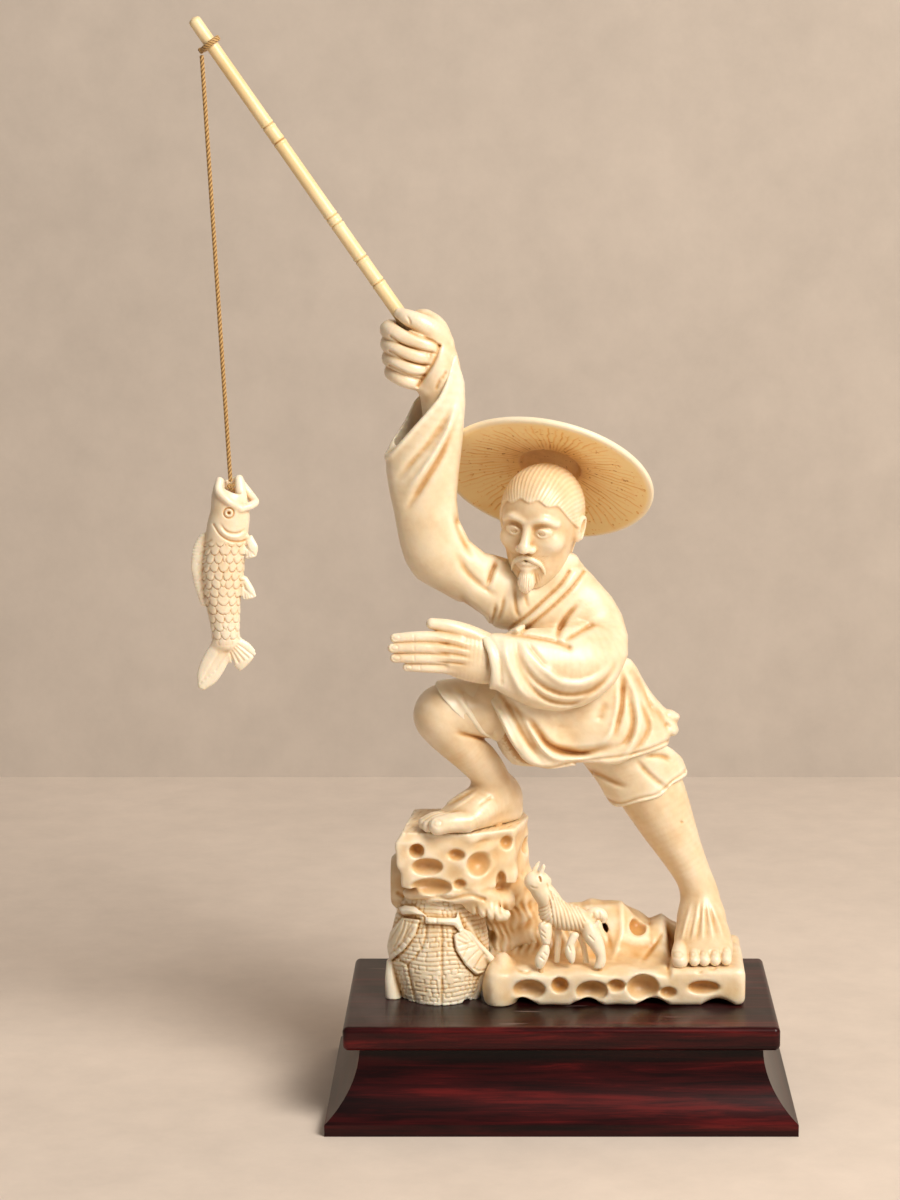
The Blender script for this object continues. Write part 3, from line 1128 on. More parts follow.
wobble = 0.10 * np.sin(side * 0.45 + 3 * np.sin(angle_grid * 5)) \
    + 0.04 * np.sin(side * 1.3 + angle_grid * 11)
phase = angle_grid / (2 * np.pi) * ray_count + wobble * np.clip(side / 14, 0.2, 1.4)
number = np.floor(phase).astype(int) % ray_count
off = (phase % 1.0) - 0.5
underside = np.zeros_like(side)
underside[:len(low_side)] = 1.0
ray = np.exp(-(off * side * 0.087 / 0.25)**2) * strength[number] * underside \
    * np.clip((side - 9.5) / 2.0, 0, 1) * np.clip((reach_out[number] - side) / 1.5, 0.12, 1) \
    * np.where(side < reach_in[number], 0.5, 1.0)
side_ripple = 0.10 * np.sin(angle_grid * 3 + 0.6) * np.clip(side / 30, 0, 1)**4
height = height + 0.20 * ray + side_ripple
first, second = across(HAT_AXIS)
# seen from the front the hat is a little flatter and lower than its solid
round_way = np.cos(angle_grid)[..., None] * first + np.sin(angle_grid)[..., None] * second
points = HAT_MIDDLE + side[..., None] * round_way + height[..., None] * HAT_AXIS
points = points.reshape(-1, 3)
points[:, 2] = HAT_MIDDLE[2] + 0.93 * (points[:, 2] - HAT_MIDDLE[2]) - 1.4


def ring_faces(rings, sides):
    """Four-sided faces between rings of points."""
    i, j = np.meshgrid(np.arange(rings - 1), np.arange(sides), indexing="ij")
    after, beside = i + 1, (j + 1) % sides
    return np.stack([i * sides + j, i * sides + beside, after * sides + beside, after * sides + j],
                    axis=-1).reshape(-1, 4)


def turned(name, points, rings, sides, numbers):
    """An object from rings of points, with its ends closed and its faces pointing outwards."""
    piece = show(name, points, ring_faces(rings, sides))
    for label, values in numbers.items():
        layer = piece.data.attributes.new(label, "FLOAT", "POINT")
        layer.data.foreach_set("value", np.asarray(values, np.float32).ravel())
    shape = bmesh.new()
    shape.from_mesh(piece.data)
    bmesh.ops.remove_doubles(shape, verts=shape.verts, dist=2e-7)
    bmesh.ops.holes_fill(shape, edges=[e for e in shape.edges if e.is_boundary], sides=0)
    bmesh.ops.recalc_face_normals(shape, faces=shape.faces)
    shape.to_mesh(piece.data)
    shape.free()
    piece.data.polygons.foreach_set("use_smooth", np.ones(len(piece.data.polygons), bool))
    return piece


into_crown = underside * np.clip((21.0 - side) / 13.0, 0, 1)**1.6
hat = turned("carved_hat", points, len(profile_side), steps_round,
             {"ray": ray, "under": underside, "depth_in": into_crown})

# %% [markdown]
# ## The hat's finish
# The underside keeps more of the stain than the rest: it is a warm tan, brown in each ray and
# darkest round the hollow crown. The rim was rubbed almost white.

# %% Hat material
m, spot = new_material("stained straw-look resin")
cloud = noise(m, spot, 130.0, 5.0, 0.6)
dark = joined(m, "MULTIPLY", stored(m, "ray"), 0.42)
for part in (joined(m, "MULTIPLY", stored(m, "depth_in"), 0.38),
             mapped(m, noise(m, spot, 620.0, 2.0), 0.64, 0.70, 0.0, 0.35),
             mapped(m, cloud, 0.3, 0.7, -0.08, 0.10)):
    dark = joined(m, "ADD", dark, part)
below_tint = ramp(m, dark, [(0.0, "#ffe4a8"), (0.25, "#f7c97c"), (0.6, "#c08240"),
                            (1.0, "#8a5222")])
above_tint = ramp(m, cloud, [(0.3, "#f7e6c6"), (0.7, "#fbeed5")])
tint = node(m, "Mix", {0: stored(m, "under"), 6: above_tint, 7: below_tint}, data_type="RGBA")
HAT_RESIN = finish_material(m, {
    "Base Color": tint.outputs[2], "Roughness": 0.42, "IOR": RESIN_BENDING,
    "Normal": relief(m, noise(m, spot, 800.0, 4.0), 0.2, 0.0002), "Subsurface Weight": 0.15,
    "Subsurface Radius": (0.002, 0.001, 0.0005), "Subsurface Scale": 1.0})
in_place(hat, "carving", "hat_resin", HAT_RESIN, "hat")

# %% [markdown]
# ## The bamboo rod
# The rod is carved like a length of bamboo: a slow taper, a rounded tip, and joints where a fine
# dark ring runs round between two soft swellings. It is a circle carried along the rod's axis,
# with a radius that depends on the distance along it.

# %% Rod
ROD_BUTT = np.array([-41.70, -7.73, 238.95])
ROD_AXIS = np.array([-0.5698, 0.0, 0.8218])
ROD_LENGTH = 121.6
JOINTS = np.array([0.679, 0.632, 0.406, 0.384, 0.279, 0.206]) * ROD_LENGTH
near_joints = (JOINTS[:, None] + np.linspace(-1.6, 1.6, 25)).ravel()
along = np.unique(np.concatenate([np.linspace(0, ROD_LENGTH, 240), near_joints]))
nearest = np.abs(along[:, None] - JOINTS).min(axis=1)
radius = 2.25 - 0.25 * along / ROD_LENGTH - 0.06
radius += 0.11 * np.exp(-((nearest - 0.7) / 0.45)**2) - 0.20 * np.exp(-(nearest / 0.22)**2)
ends = np.clip(np.minimum(along, ROD_LENGTH - along) / 1.4, 0, 1)
radius *= np.sqrt(np.clip(1 - (1 - ends)**2, 0.0004, 1))
sides = 40
turn = np.linspace(0, 2 * np.pi, sides, endpoint=False)
first, second = across(ROD_AXIS)
ring_way = np.cos(turn)[:, None] * first + np.sin(turn)[:, None] * second
wander = 0.05 * np.sin(along / 9.0)[:, None, None] * first
points = ROD_BUTT + along[:, None, None] * ROD_AXIS + radius[:, None, None] * ring_way + wander
rod = turned("bamboo_rod", points.reshape(-1, 3), len(along), sides,
             {"joint": np.repeat(np.exp(-(nearest / 0.26)**2)[:, None], sides, axis=1)})

m, spot = new_material("bamboo-look resin")
fibre_way = node(m, "Mapping", {"Vector": spot, "Rotation": (0, math.radians(34.7), 0),
                                "Scale": (1.0, 1.0, 0.06)}).outputs[0]
ring = joined(m, "MULTIPLY", stored(m, "joint"), 0.38)
soft = mapped(m, noise(m, spot, 60.0, 3.0), 0.3, 0.7, 0.0, 0.30)
tint = ramp(m, joined(m, "ADD", ring, soft),
            [(0.0, "#f6e2b6"), (0.3, "#ecd09a"), (0.7, "#a8702f"), (1.0, "#6b3c14")])
BAMBOO = finish_material(m, {
    "Base Color": tint, "Roughness": 0.34, "IOR": RESIN_BENDING,
    "Normal": relief(m, noise(m, fibre_way, 900.0, 4.0), 0.25, 0.0002),
    "Subsurface Weight": 0.12, "Subsurface Radius": (0.002, 0.001, 0.0005),
    "Subsurface Scale": 1.0})
in_place(rod, "rod", "rod_resin", BAMBOO, "rod")

# %% [markdown]
# ## The cord
# A waxed cord of three strands hangs straight from the rod's tip, because the fish pulls it
# tight. Its route is a NURBS line; the points for the strands are read back from it. Three
# lobes turn round the route once in four millimetres, which is how three laid strands look.

# %% Cord
CORD_RADIUS = 0.675
route_points = [(-108.40, -7.73, 327.84), (-107.90, -7.73, 317.9), (-105.15, -7.73, 263.1),
                (-102.40, -7.73, 208.4), (-101.90, -7.73, 198.40)]
route = bpy.data.curves.new("cord_route", "CURVE")
route.dimensions = "3D"
spline = route.splines.new("NURBS")
spline.points.add(len(route_points) - 1)
for control, place in zip(spline.points, route_points):
    control.co = (*[c / 1000 for c in place], 1.0)
spline.order_u = 3
spline.use_endpoint_u = True
spline.resolution_u = 60
route_object = bpy.data.objects.new("cord_route", route)
bpy.context.scene.collection.objects.link(route_object)
route_mesh = bpy.data.meshes.new_from_object(route_object)
line_points = np.empty(len(route_mesh.vertices) * 3, np.float32)
route_mesh.vertices.foreach_get("co", line_points)
line_points = line_points.reshape(-1, 3) * 1000
bpy.data.objects.remove(route_object)


def even_points(line, gap):
    """The same line with points at an even gap."""
    lengths = np.concatenate([[0], np.cumsum(np.linalg.norm(np.diff(line, axis=0), axis=1))])
    at = np.linspace(0, lengths[-1], max(8, int(lengths[-1] / gap)))
    return np.stack([np.interp(at, lengths, line[:, k]) for k in range(3)], axis=1), at


def laid_cord(name, line, radius, pitch=4.2, gap=0.22, sides=21):
    """A cord of three strands: a ring with three lobes that turns as it goes along the line."""
    line, at = even_points(np.asarray(line, float), gap)
    ahead = np.gradient(line, axis=0)
    ahead /= np.linalg.norm(ahead, axis=1)[:, None]
    guide = np.array([0, 1.0, 0]) if abs(ahead[:, 1]).max() < 0.95 else np.array([0.6, 0, 0.8])
    first = np.cross(ahead, guide)
    first /= np.linalg.norm(first, axis=1)[:, None]
    second = np.cross(ahead, first)
    turn = np.linspace(0, 2 * np.pi, sides, endpoint=False)
    strand = np.abs(np.cos(1.5 * (turn - 2 * np.pi * at[:, None] / pitch)))
    lobe = radius * (0.80 + 0.20 * strand**0.7)
    lobe[0] *= 0.3
    lobe[-1] *= 0.3
    ring = np.cos(turn)[None, :, None] * first[:, None] \
        + np.sin(turn)[None, :, None] * second[:, None]
    points = line[:, None] + lobe[..., None] * ring
    return turned(name, points.reshape(-1, 3), len(line), sides, {"lay": 1 - strand})


line = laid_cord("line_cord", line_points, CORD_RADIUS)

# the loop round the rod, its knot, and the knot in the fish's mouth
TIE = np.array([-105.64, -7.73, 331.15])
turn = np.linspace(0, 2 * np.pi * 1.96, 90)
first, second = across(ROD_AXIS)
wrap_line = TIE + 2.78 * (np.cos(turn)[:, None] * first + np.sin(turn)[:, None] * second) \
    + ((turn / turn[-1] - 0.5) * 1.15)[:, None] * ROD_AXIS
wrap = laid_cord("cord_wrap", wrap_line, 0.60, pitch=3.4)


def knot(name, centre, size, cord_radius):
    """An overhand knot: the three-leaf knot curve, which crosses itself three times."""
    turn = np.linspace(0, 2 * np.pi, 120)
    curve = np.stack([np.sin(turn) + 2 * np.sin(2 * turn), np.sin(3 * turn) * 0.9,
                      np.cos(turn) - 2 * np.cos(2 * turn)], axis=1) / 3.0
    return laid_cord(name, np.asarray(centre) + curve * size, cord_radius, pitch=3.0)


top_knot = knot("cord_top_knot", (-108.47, -7.73, 329.19), 0.66, 0.44)
low_knot = knot("cord_mouth_knot", (-101.82, -7.73, 196.90), 0.78, 0.48)

m, spot = new_material("waxed laid cord")
hairs = noise(m, spot, 2600.0, 3.0)
mixed = joined(m, "ADD", stored(m, "lay"), mapped(m, hairs, to_low=-0.15, to_high=0.2))
tint = ramp(m, mixed, [(0.0, "#cfa86a"), (0.45, "#a87f45"), (0.9, "#5f4220")])
WAXED_CORD = finish_material(m, {
    "Base Color": tint, "Roughness": 0.55, "Normal": relief(m, hairs, 0.5, 0.00012),
    "Sheen Weight": 0.2})
for piece, body, solid in ((line, "line", "line"), (wrap, "rod", "line_wrap"),
                           (top_knot, "line_knot", "line_knot"),
                           (low_knot, "mouth_knot", "mouth_knot")):
    in_place(piece, body, "waxed_cord", WAXED_CORD, solid)

# %% [markdown]
# ## The fish
# The fish hangs head up, with its mouth wide open round the knot. Its body is a row of ovals,
# the fins are thin blades, and the scales are worked out from two numbers: how far along the
# body a point lies and how far round it. Each scale is a disc that the one nearer the head
# overlaps, so its free edge stands up a little towards the tail.

# %% Fish: body, mouth and fins
FISH_BODY = """
    229.5 500 -7.7 5.4 4.7, 229.9 514 -7.7 6.1 5, 227.5 529.5 -7.7 6.5 5.2,
    224 560.5 -7.7 6.5 5.1, 222.9 577.8 -7.7 6.3 4.9, 222.9 595 -7.7 5.7 4.5,
    223.9 612 -7.7 5 4, 225.5 629.4 -7.7 4.4 3.4, 225.6 643.2 -7.7 4.1 2.6"""
block = Block((-117, -15, 131), (-88, 0, 205), 0.22)
add_limb(block, seen(FISH_BODY), blend=1.0)
add_limb(block, seen("219.6 483 -6 1.3, 219.5 492 -7 2.2, 222 503 -7.7 3"), (0, 1, 0), 1.0)
cut_limb(block, seen("232 470 -8 3.4, 234 486 -8 3.2, 235 497 -8 2.4"), blend=0.6)
for lip in read_lists("""
        219.5 481 -9 1.25, 219 491 -10.8 1.35, 228 501 -12.2 1.15, 239.5 508 -11.2 1.1;
        239 479 -6.2 1.35, 240.5 492 -7.6 1.7, 243 505 -9.2 1.3;
        241.5 509 -11 1.1, 250 506 -9.4 1.2, 255.3 502 -7 1.2, 252 497 -5 1.1;
        219.5 481 -7 1.2, 227 484 -4 1.3, 239 479.5 -4.6 1.4;
        240 482 -4.4 1.3, 248 492 -4.4 1.3, 253 499 -5.2 1.2"""):
    add_limb(block, seen(lip), (0, 1, 0), 0.7)
add_limb(block, seen("""
    207 536 -7.7 2.6 1, 203.5 550 -7.7 3.5 1, 202 568 -7.7 3.4 0.95, 204.5 586 -7.7 3.2 0.95,
    208 604 -7.7 2.4 0.9"""), blend=0.6)
for fin, way in (("""
        247 537 -9 1.7 0.9, 250 548 -10 2.5 0.8, 250.5 556 -10.2 2.1 0.7""", (1, 0, 0.2)),
                 ("""
        243 579 -8.6 1.5 0.9, 247 589 -9.4 2.1 0.8, 249.5 597 -9.8 2.2 0.7""", (1, 0, 0.2)),
                 ("""
        223 644 -7.7 3.2 1.8, 215 661 -7.7 3.9 1.4, 207 677 -7.7 3.3 1.1, 202 687 -7.7 1.4 0.8""",
         (0.9, 0, -0.45)),
                 ("""
        230 643 -7.7 3.2 1.6, 240 653 -7.7 4.3 1.2, 247.5 661 -7.7 4.2 0.9""", (0.65, 0, 0.75))):
    add_limb(block, seen(fin), way, 0.6)

# %% Fish: scales and lines
FISH_PIXEL = 0.307                    # millimetres that one pixel covers at the fish
where, x, y, z = block.near_surface(1.6)
columns, rows = photo_place(x, y, z)
body = np.array(read_rows(FISH_BODY))
centre = np.interp(rows, body[:, 1], body[:, 0])
half = np.interp(rows, body[:, 1], body[:, 3])
off_middle = (columns - centre) * FISH_PIXEL
turn_round = np.arctan2(off_middle, np.where(np.abs(y + 7.7) < 0.05, 0.05, y + 7.7))
round_it = turn_round * half / 3.3
down_it = (rows - 541.0) * FISH_PIXEL / 2.6
raised = np.zeros_like(rows)
edge = np.zeros_like(rows)
free = np.ones(rows.shape, bool)
for back in (2, 1, 0):
    row_number = np.floor(down_it) - back
    shift = 0.5 * (row_number % 2)
    across_scale = (round_it + shift) - np.round(round_it + shift)
    down_scale = down_it - row_number
    distance = np.hypot(across_scale * 1.75, down_scale - 0.75)
    hit = free & (distance < 1.0)
    lift = 0.34 * np.clip((down_scale - 0.2) / 1.5, 0, 1) * (1 - distance**6)
    raised = np.where(hit, lift, raised)
    edge = np.where(hit, np.exp(-((1.0 - distance) / 0.10)**2), edge)
    free &= ~hit
on_body = np.clip((rows - 542) / 4, 0, 1) * np.clip((646 - rows) / 4, 0, 1) \
    * np.clip((half - np.abs(off_middle) + 0.5) / 0.5, 0, 1) \
    * np.clip((np.hypot(off_middle / half, (y + 7.7) / (half * 0.78)) - 0.72) / 0.1, 0, 1)
block.field[where] += (on_body * (0.32 * edge - raised + 0.12)).astype(np.float32)
FISH_LINES = read_strokes("""
    groove full 0.42 1.1: 213.5 524.4, 220 534.7, 230.3 541, 242.3 541, 249.2 536, 251 527;
    groove 0.4 1.1: 220 523.5, 226.8 531.3, 237.2 533, 245.8 528.7;
    ridge 0.3 1.3: 218 527, 226 535, 237 537.3, 247 532;
    nail 228.7 513 5 5 0.55;
    groove full 1 1.7: 228.5 513, 228.9 513;
    ridge full 0.22 1.1: 231.7 513, 230.8 515.1, 228.7 516, 226.6 515.1, 225.7 513,
        226.6 510.9, 228.7 510, 230.8 510.9, 231.7 513""")


def fin_ray(depth, width, *line):
    """One more fine groove, on a fin or the tail."""
    FISH_LINES.append(("groove full", depth, width, line))


for u, v, to_u, to_v in read_rows("""
        211 540 197 549, 209 548 194.5 558, 207 557 193.5 567, 206 566 193.8 576,
        206 575 195 585, 206.5 584 196.5 594, 208 593 199.5 602, 209.5 601 203 609"""):
    fin_ray(0.22, 1.0, (u, v), (0.35 * u + 0.65 * to_u, 0.35 * v + 0.65 * to_v))
for k in range(4):
    fin_ray(0.24, 0.9, (246 + 0.4 * k, 542 + 2 * k), (245.0 + 3.0 * k, 558 - 1.0 * k))
    fin_ray(0.24, 0.9, (243.5 + 0.6 * k, 583 + 2 * k), (245.0 + 2.6 * k, 598 - 0.6 * k))
for k in range(5):
    fin_ray(0.20, 1.1, (218.5 + 2.2 * k, 653 - 0.4 * k), (200.5 + 3.8 * k, 683 - 3.2 * k))
    fin_ray(0.30, 1.1, (230.5 + 1.8 * k, 653 - 2.2 * k), (233.5 + 4.9 * k, 664 - 2.0 * k))
press(block, FISH_LINES, -6.0, 1.6)
carve_out("carved_fish", block, FISH_IVORY, "fish", body="fish")

# %% [markdown]
# ## The dog
# A small dog looks up past the rock, with a round muzzle, pricked ears, fur in long ridges down
# its neck and flank, and a puff of a tail. It is barely four centimetres high, so the smallest
# grid is used here. Legs and tail are tapering limbs, placed by pixel and depth.

# %% Dog
DOG_ZOOM = 11.2                       # how much the dog's close-up enlarges the photograph


def dog_rows(rows):
    """Rows of place in the dog's own close-up, depth and radii, turned to space."""
    return seen([(500 + r[0] / DOG_ZOOM, 850 + r[1] / DOG_ZOOM, r[2])
                 + tuple(v / DOG_ZOOM * PIXEL for v in r[3:]) for r in read_rows(rows)])


block = Block((-13, -18, 43), (18, -2, 80), 0.21)
for rows, blend in (
        ("""
        590 700 -10.4 160 150, 720 745 -10.4 168 158, 850 775 -10.4 142 138,
        970 820 -10.4 112 115""", 1.2),
        ("""
        600 680 -10.6 150 142, 548 560 -10.9 134 128, 480 465 -11.1 128 122,
        420 385 -11.3 112 112""", 1.4),
        ("""
        385 345 -11.4 116 112, 445 340 -11.3 104 104, 520 350 -11 56 62""", 0.8),
        ("""
        455 262 -12.6 32 22, 483 195 -12.8 27 16, 487 165 -12.8 13 10""", 0.4),
        ("""
        370 262 -9.4 30 22, 408 185 -9.2 27 16, 438 132 -9.2 12 9""", 0.4),
        ("""
        505 860 -13.2 78 66, 512 950 -13.8 68 58, 518 1040 -14.1 44 42""", 0.5),
        ("""
        510 1088 -14.2 43 40, 492 1150 -14.4 64 56, 457 1230 -14.6 70 56, 443 1290 -14.6 48 44,
        433 1330 -14.6 20 22""", 0.25),
        ("""
        640 880 -8.4 50 50, 650 1000 -8 40 40, 640 1180 -8 34 34, 632 1300 -8 32 32""", 0.5),
        ("""
        1000 880 -12 92 96, 1030 960 -12.6 102 94, 1085 1060 -13 84 74, 1126 1170 -13.4 60 58,
        1128 1250 -13.7 58 54, 1098 1315 -13.9 50 46, 1090 1350 -13.9 26 30""", 0.8),
        ("""
        835 955 -13.2 52 40, 790 1050 -13.7 44 38, 785 1140 -13.9 62 48, 800 1220 -14 42 38,
        808 1262 -14.1 14 16""", 0.35),
        ("""
        880 900 -9.5 46 44, 930 1060 -8.8 34 34, 960 1200 -8.6 32 32, 965 1310 -8.6 34 34""", 0.5),
        ("""
        985 745 -9.8 50 46, 1040 715 -9.6 78 72, 1110 715 -9.6 74 70, 1160 745 -9.8 50 50,
        1160 785 -9.8 36 36""", 0.6),
        ("1050 880 -12.8 44 34, 1098 800 -12.8 14 14", 0.4)):
    add_limb(block, dog_rows(rows), (1, 0, 0), blend)
cut_limb(block, dog_rows("470 235 -13.6 12 8, 486 190 -13.8 9 6"), blend=0.2)


def dog_stroke(kind, depth, width, points):
    """A stroke in the dog's own close-up, turned to pixels of the photograph."""
    return kind, depth, width, [(500 + u / DOG_ZOOM, 850 + v / DOG_ZOOM)
                                for u, v in read_rows(points)]


DOG_LINES = [dog_stroke("groove full", 0.32, 0.75, line) for line in read_lists("""
    545 520, 570 640, 590 760, 600 860;
    570 470, 612 620, 632 760, 650 880;
    600 500, 655 640, 680 780, 697 890;
    645 540, 700 650, 728 780, 745 895;
    690 570, 742 670, 775 790, 797 895;
    735 590, 790 690, 822 800, 845 895;
    770 600, 830 710, 865 800, 890 890;
    820 625, 875 720, 905 800, 930 870;
    870 650, 915 730, 945 800;
    560 560, 520 630, 440 655;
    565 600, 520 675, 430 700;
    570 640, 520 715, 440 745;
    575 690, 520 760, 460 790;
    590 740, 540 800, 480 830;
    525 380, 560 470, 590 560;
    470 900, 500 930;
    470 950, 505 985;
    490 1150, 520 1180;
    450 1200, 490 1230;
    1000 960, 1050 1010;
    770 1080, 790 1130""")]
DOG_LINES += [dog_stroke("groove full", 0.85, 0.9, "438 302, 448 322, 456 350"),
              dog_stroke("ridge full", 0.18, 0.8,
                         "420 300, 432 285, 450 282, 470 300, 478 330, 470 355"),
              dog_stroke("groove", 0.25, 1.0, "330 400, 380 425, 430 425"),
              dog_stroke("groove", 0.30, 0.9, "480 1058, 520 1062, 555 1068"),
              dog_stroke("groove", 0.30, 1.1, "1030 690, 1050 730, 1040 780"),
              dog_stroke("groove", 0.30, 1.1, "1100 680, 1115 720, 1110 770")]
press(block, DOG_LINES, -9.5, 1.5)
where, x, y, z = block.near_surface(1.5)
fur = np.cos((x * 0.9 + (z - 57) * 0.45) * 3.6 + 0.8 * np.sin(z * 0.9)) \
    * np.clip((y + 9.5) / 1.0, 0, 1)
block.field[where] += (0.14 * fur * np.clip((z - 52) / 3, 0, 1)).astype(np.float32)
cut_below(block, 45.02)
carve_out("carved_dog", block, IVORY, "dog")

# %% [markdown]
# ## The rock
# The rock is a scholar's stone in small: soft lumps, sharp upper edges, and round holes that
# water has worn. The ledge under the raised foot and the pillar behind the dog are one surface
# here, and stand for two solids. A plan of straight sides gives the block, waves of several
# sizes make it uneven, and oval balls cut the holes where the photograph has them.

# %% Ledge and pillar
LEDGE_TOP = 88.7                      # millimetres above the table
ROCK_FLOOR = 33.02                    # just above the stand's top


def add_prism(block, plan, low, high, blend, blend_top=0.5):
    """Joins an upright block: the greatest of the distances to its sides, top and foot."""
    plan = np.asarray(read_rows(plan), float)
    x, y, z = block.x[:, None], block.y[None, :], block.z[None, None, :]
    flat = np.full((len(block.x), len(block.y)), -99.0, np.float32)
    for a, b in zip(plan, np.roll(plan, -1, axis=0)):
        way = np.array([b[1] - a[1], a[0] - b[0]]) / np.hypot(*(b - a))
        flat = -soft_least(-flat, -((x - a[0]) * way[0] + (y - a[1]) * way[1]), 1.2)
    shape = np.maximum(z - high, low - z)
    shape = -soft_least(-flat[:, :, None], -shape, blend_top)
    block.field[...] = soft_least(block.field, shape.astype(np.float32), blend)


def bore(block, left, top, right, bottom, y, depth, blend=0.7):
    """A worn hole: an oval ball cut in at the depth y, as wide and high as its box of pixels."""
    x, _, z = under_pixel((left + right) / 2, (top + bottom) / 2, y)
    cut_ball(block, (x, y, z), ((right - left) * 0.157, depth, (bottom - top) * 0.160), blend)


block = Block((-54, -19, 43), (-2, 24, 91), 0.38)
add_prism(block, """
    -50.2 -14, -28 -15.4, -14 -8.5, -9.8 8, -13 19.5, -47 18""",
          70.5, LEDGE_TOP, 1.0)
add_limb(block, "-46 2 69 8 10, -34 2 69.5 12 12, -20 4 68 10 9", (0, 1, 0), 2.5)
add_limb(block, """
    -48 -7 66.8 2.6, -40 -12.5 68.8 2.4, -30 -13 68.6 2.6, -22 -10 66.8 3, -17 -6 64.5 3.2""",
         (0, 1, 0), 2.0)
add_limb(block, "-27 -11 66 3.2, -21 -12 62.6 3, -17.6 -11 61.6 2.2", blend=1.2)
add_limb(block, """
    -22 8 68 12 10, -17 10.5 58 11.5 9, -14 11.5 50 11 9, -13 11.5 42 12.5 10""", blend=2.0)
where, x, y, z = block.near_surface(4.0)
below_top = np.clip((88.2 - z) / 2.5, 0, 1)
block.field[where] += below_top * (0.75 * waves(x, y, z, 17.0, 3) + 0.35 * waves(x, y, z, 8.0, 4))
fur_wall = np.clip((67 - z) / 4, 0, 1) * np.clip((x + 30) / 6, 0, 1)
hair = np.cos(x * 2.6 + 1.6 * np.sin(z * 0.7 + x * 0.3) + 0.5 * z)
tufts = np.clip(0.6 + 0.8 * np.sin(x * 0.45 + 1.0) * np.sin(z * 0.35), 0, 1)
block.field[where] += fur_wall * (0.30 * hair * tufts + 0.30 * waves(x, y, z, 4.5, 6))
for box in read_rows("""
        409 844 424 859 4.5, 411 859 443 877 5.5, 447 850 465 862 3.6, 466 853 496 879 6,
        410 879 452 897 4.5, 453 880 466 890 3.2"""):
    bore(block, *box[:4], -15.6, box[4])
bore(block, 496, 872, 506, 892, -11.0, 4.5)
bore(block, 500, 836, 514, 850, -9.5, 3.0)
for x, y, z, size in read_rows("""
        -9.5 4 80 3.6, -10.5 12 74 3, -10 0 72 2.4, -50 -4 79 3.6, -50.5 6 76 3, -49 12 82 2.4,
        -38 19 80 4.4, -25 20 76 4.8, -31 19.5 85 2.6, -17 19 82 3.2, -42 18 72 3,
        -20 21 58 3.4, -12 20.5 52 3"""):
    cut_ball(block, (x, y, z), (size, size * 0.9, size * 0.85), 0.7)
press(block, """
    groove full 0.9 2.2: 398 893, 412 900.5, 436 897.5, 452 898.6, 468 895, 484 899;
    groove 0.7 1.4: 476 905, 478 919;
    groove 0.7 1.4: 486 907, 487 923;
    groove 0.7 1.4: 494 905, 495 923;
    groove 0.7 1.3: 499 900, 501 917""", 2.0)
where, x, y, z = block.near_surface(2.0)
streaks = np.sin(x * 0.8 + y * 0.25) * np.sin(x * 2.3 - y * 0.9)
scratches = np.clip((z - 88.0) / 0.5, 0, 1) * np.clip(streaks - 0.25, 0, 1)
block.field[where] += (0.45 * scratches).astype(np.float32)
over_top = (LEDGE_TOP - block.z)[None, None, :].astype(np.float32)
block.field[...] = -soft_least(-block.field, over_top, 0.25)
cut_below(block, 45.1)
carve_out("carved_rock_ledge", block, ROCK_IVORY, "rock_ledge", "rock_pillar")

# %% [markdown]
# ## The low rock
# The base is a slab with a wavy skirting: it touches the stand at four places and arches up
# between them. Its top is a height for each place, low and smooth in front of the foot and
# raised in a ridge behind it, so this form is mostly one function of two numbers.

# %% Rock base
block = Block((-26, -20, 32), (62, 30, 62), 0.44)
x, y, z = block.x[:, None], block.y[None, :], block.z[None, None, :]
ridge = np.interp(block.x, [-24, -12, -4, 2, 7, 10, 14, 20, 24, 29, 33, 37, 44, 60],
                  [4, 9, 12, 12.4, 12.6, 13.4, 12.8, 13.6, 10.5, 7.2, 8.4, 6.0, 1.5, 0.0])[:, None]
behind = np.clip((y + 4.0) / 17.0, 0, 1)
behind = behind * behind * (3 - 2 * behind)
past = np.clip((y - 19.0) / 8.0, 0, 1)
top = 44.6 + ridge * behind * (1 - 0.75 * past * past) \
    + 0.35 * np.sin(x * 0.42) * np.sin(y * 0.5 + 1.0)
top = top - 1.4 * np.exp(-((y + 15.5) / 2.2)**2) * (0.6 + 0.4 * np.cos(x * 0.33 + 0.8)) * (x < 36)
tile = 0.25 * (1 + np.tanh((x - 34.6) * 2)) * (1 - np.tanh((y - 14) * 0.75))
top = top * (1 - tile) + 45.0 * tile
field = (z - top[:, :, None]) * 0.85
arches = np.cos((block.x[:, None] + 2.0) * 2 * np.pi / 20.6 + np.pi) * 0.9 + 0.1
foot = 33.0 + 2.3 * np.clip(arches, 0, 1) * np.clip(1 - (y + 15.5) / 16, 0, 1)
field = -soft_least(-field, (z - foot[:, :, None]) * 0.9, 0.8)
for at_x, at_y, way_x, way_y in read_rows(
        "-22.6 0 -1 -0.04, 58.4 0 1 -0.02, 0 -16.2 0 -1, 0 27 0 1"):
    flat = (x - at_x) * way_x + (y - at_y) * way_y
    field = -soft_least(-field, -flat[:, :, None] * np.ones_like(z), 2.4)
block.field[...] = field.astype(np.float32)
add_limb(block, """
    -18.5 -8 42 3.6 6, -20 -10 38 4.6 6.5, -19 -10 33.5 5 6""", blend=3.0)
where, x, y, z = block.near_surface(4.0)
rough_part = np.clip((y + 6) / 6, 0.25, 1)
lumps = 0.45 * waves(x, y, z, 15.0, 11) + 0.2 * waves(x, y, z, 6.0, 12)
block.field[where] += rough_part * lumps * np.clip((36.5 - x) / 3, 0.15, 1)
wall_fur = np.exp(-((y - 4) / 9)**2) * np.clip((8 - x) / 5, 0, 1) * np.clip((z - 45) / 2, 0, 1)
wall_hair = np.cos(x * 2.4 + 1.4 * np.sin(z * 0.6 + y * 0.4))
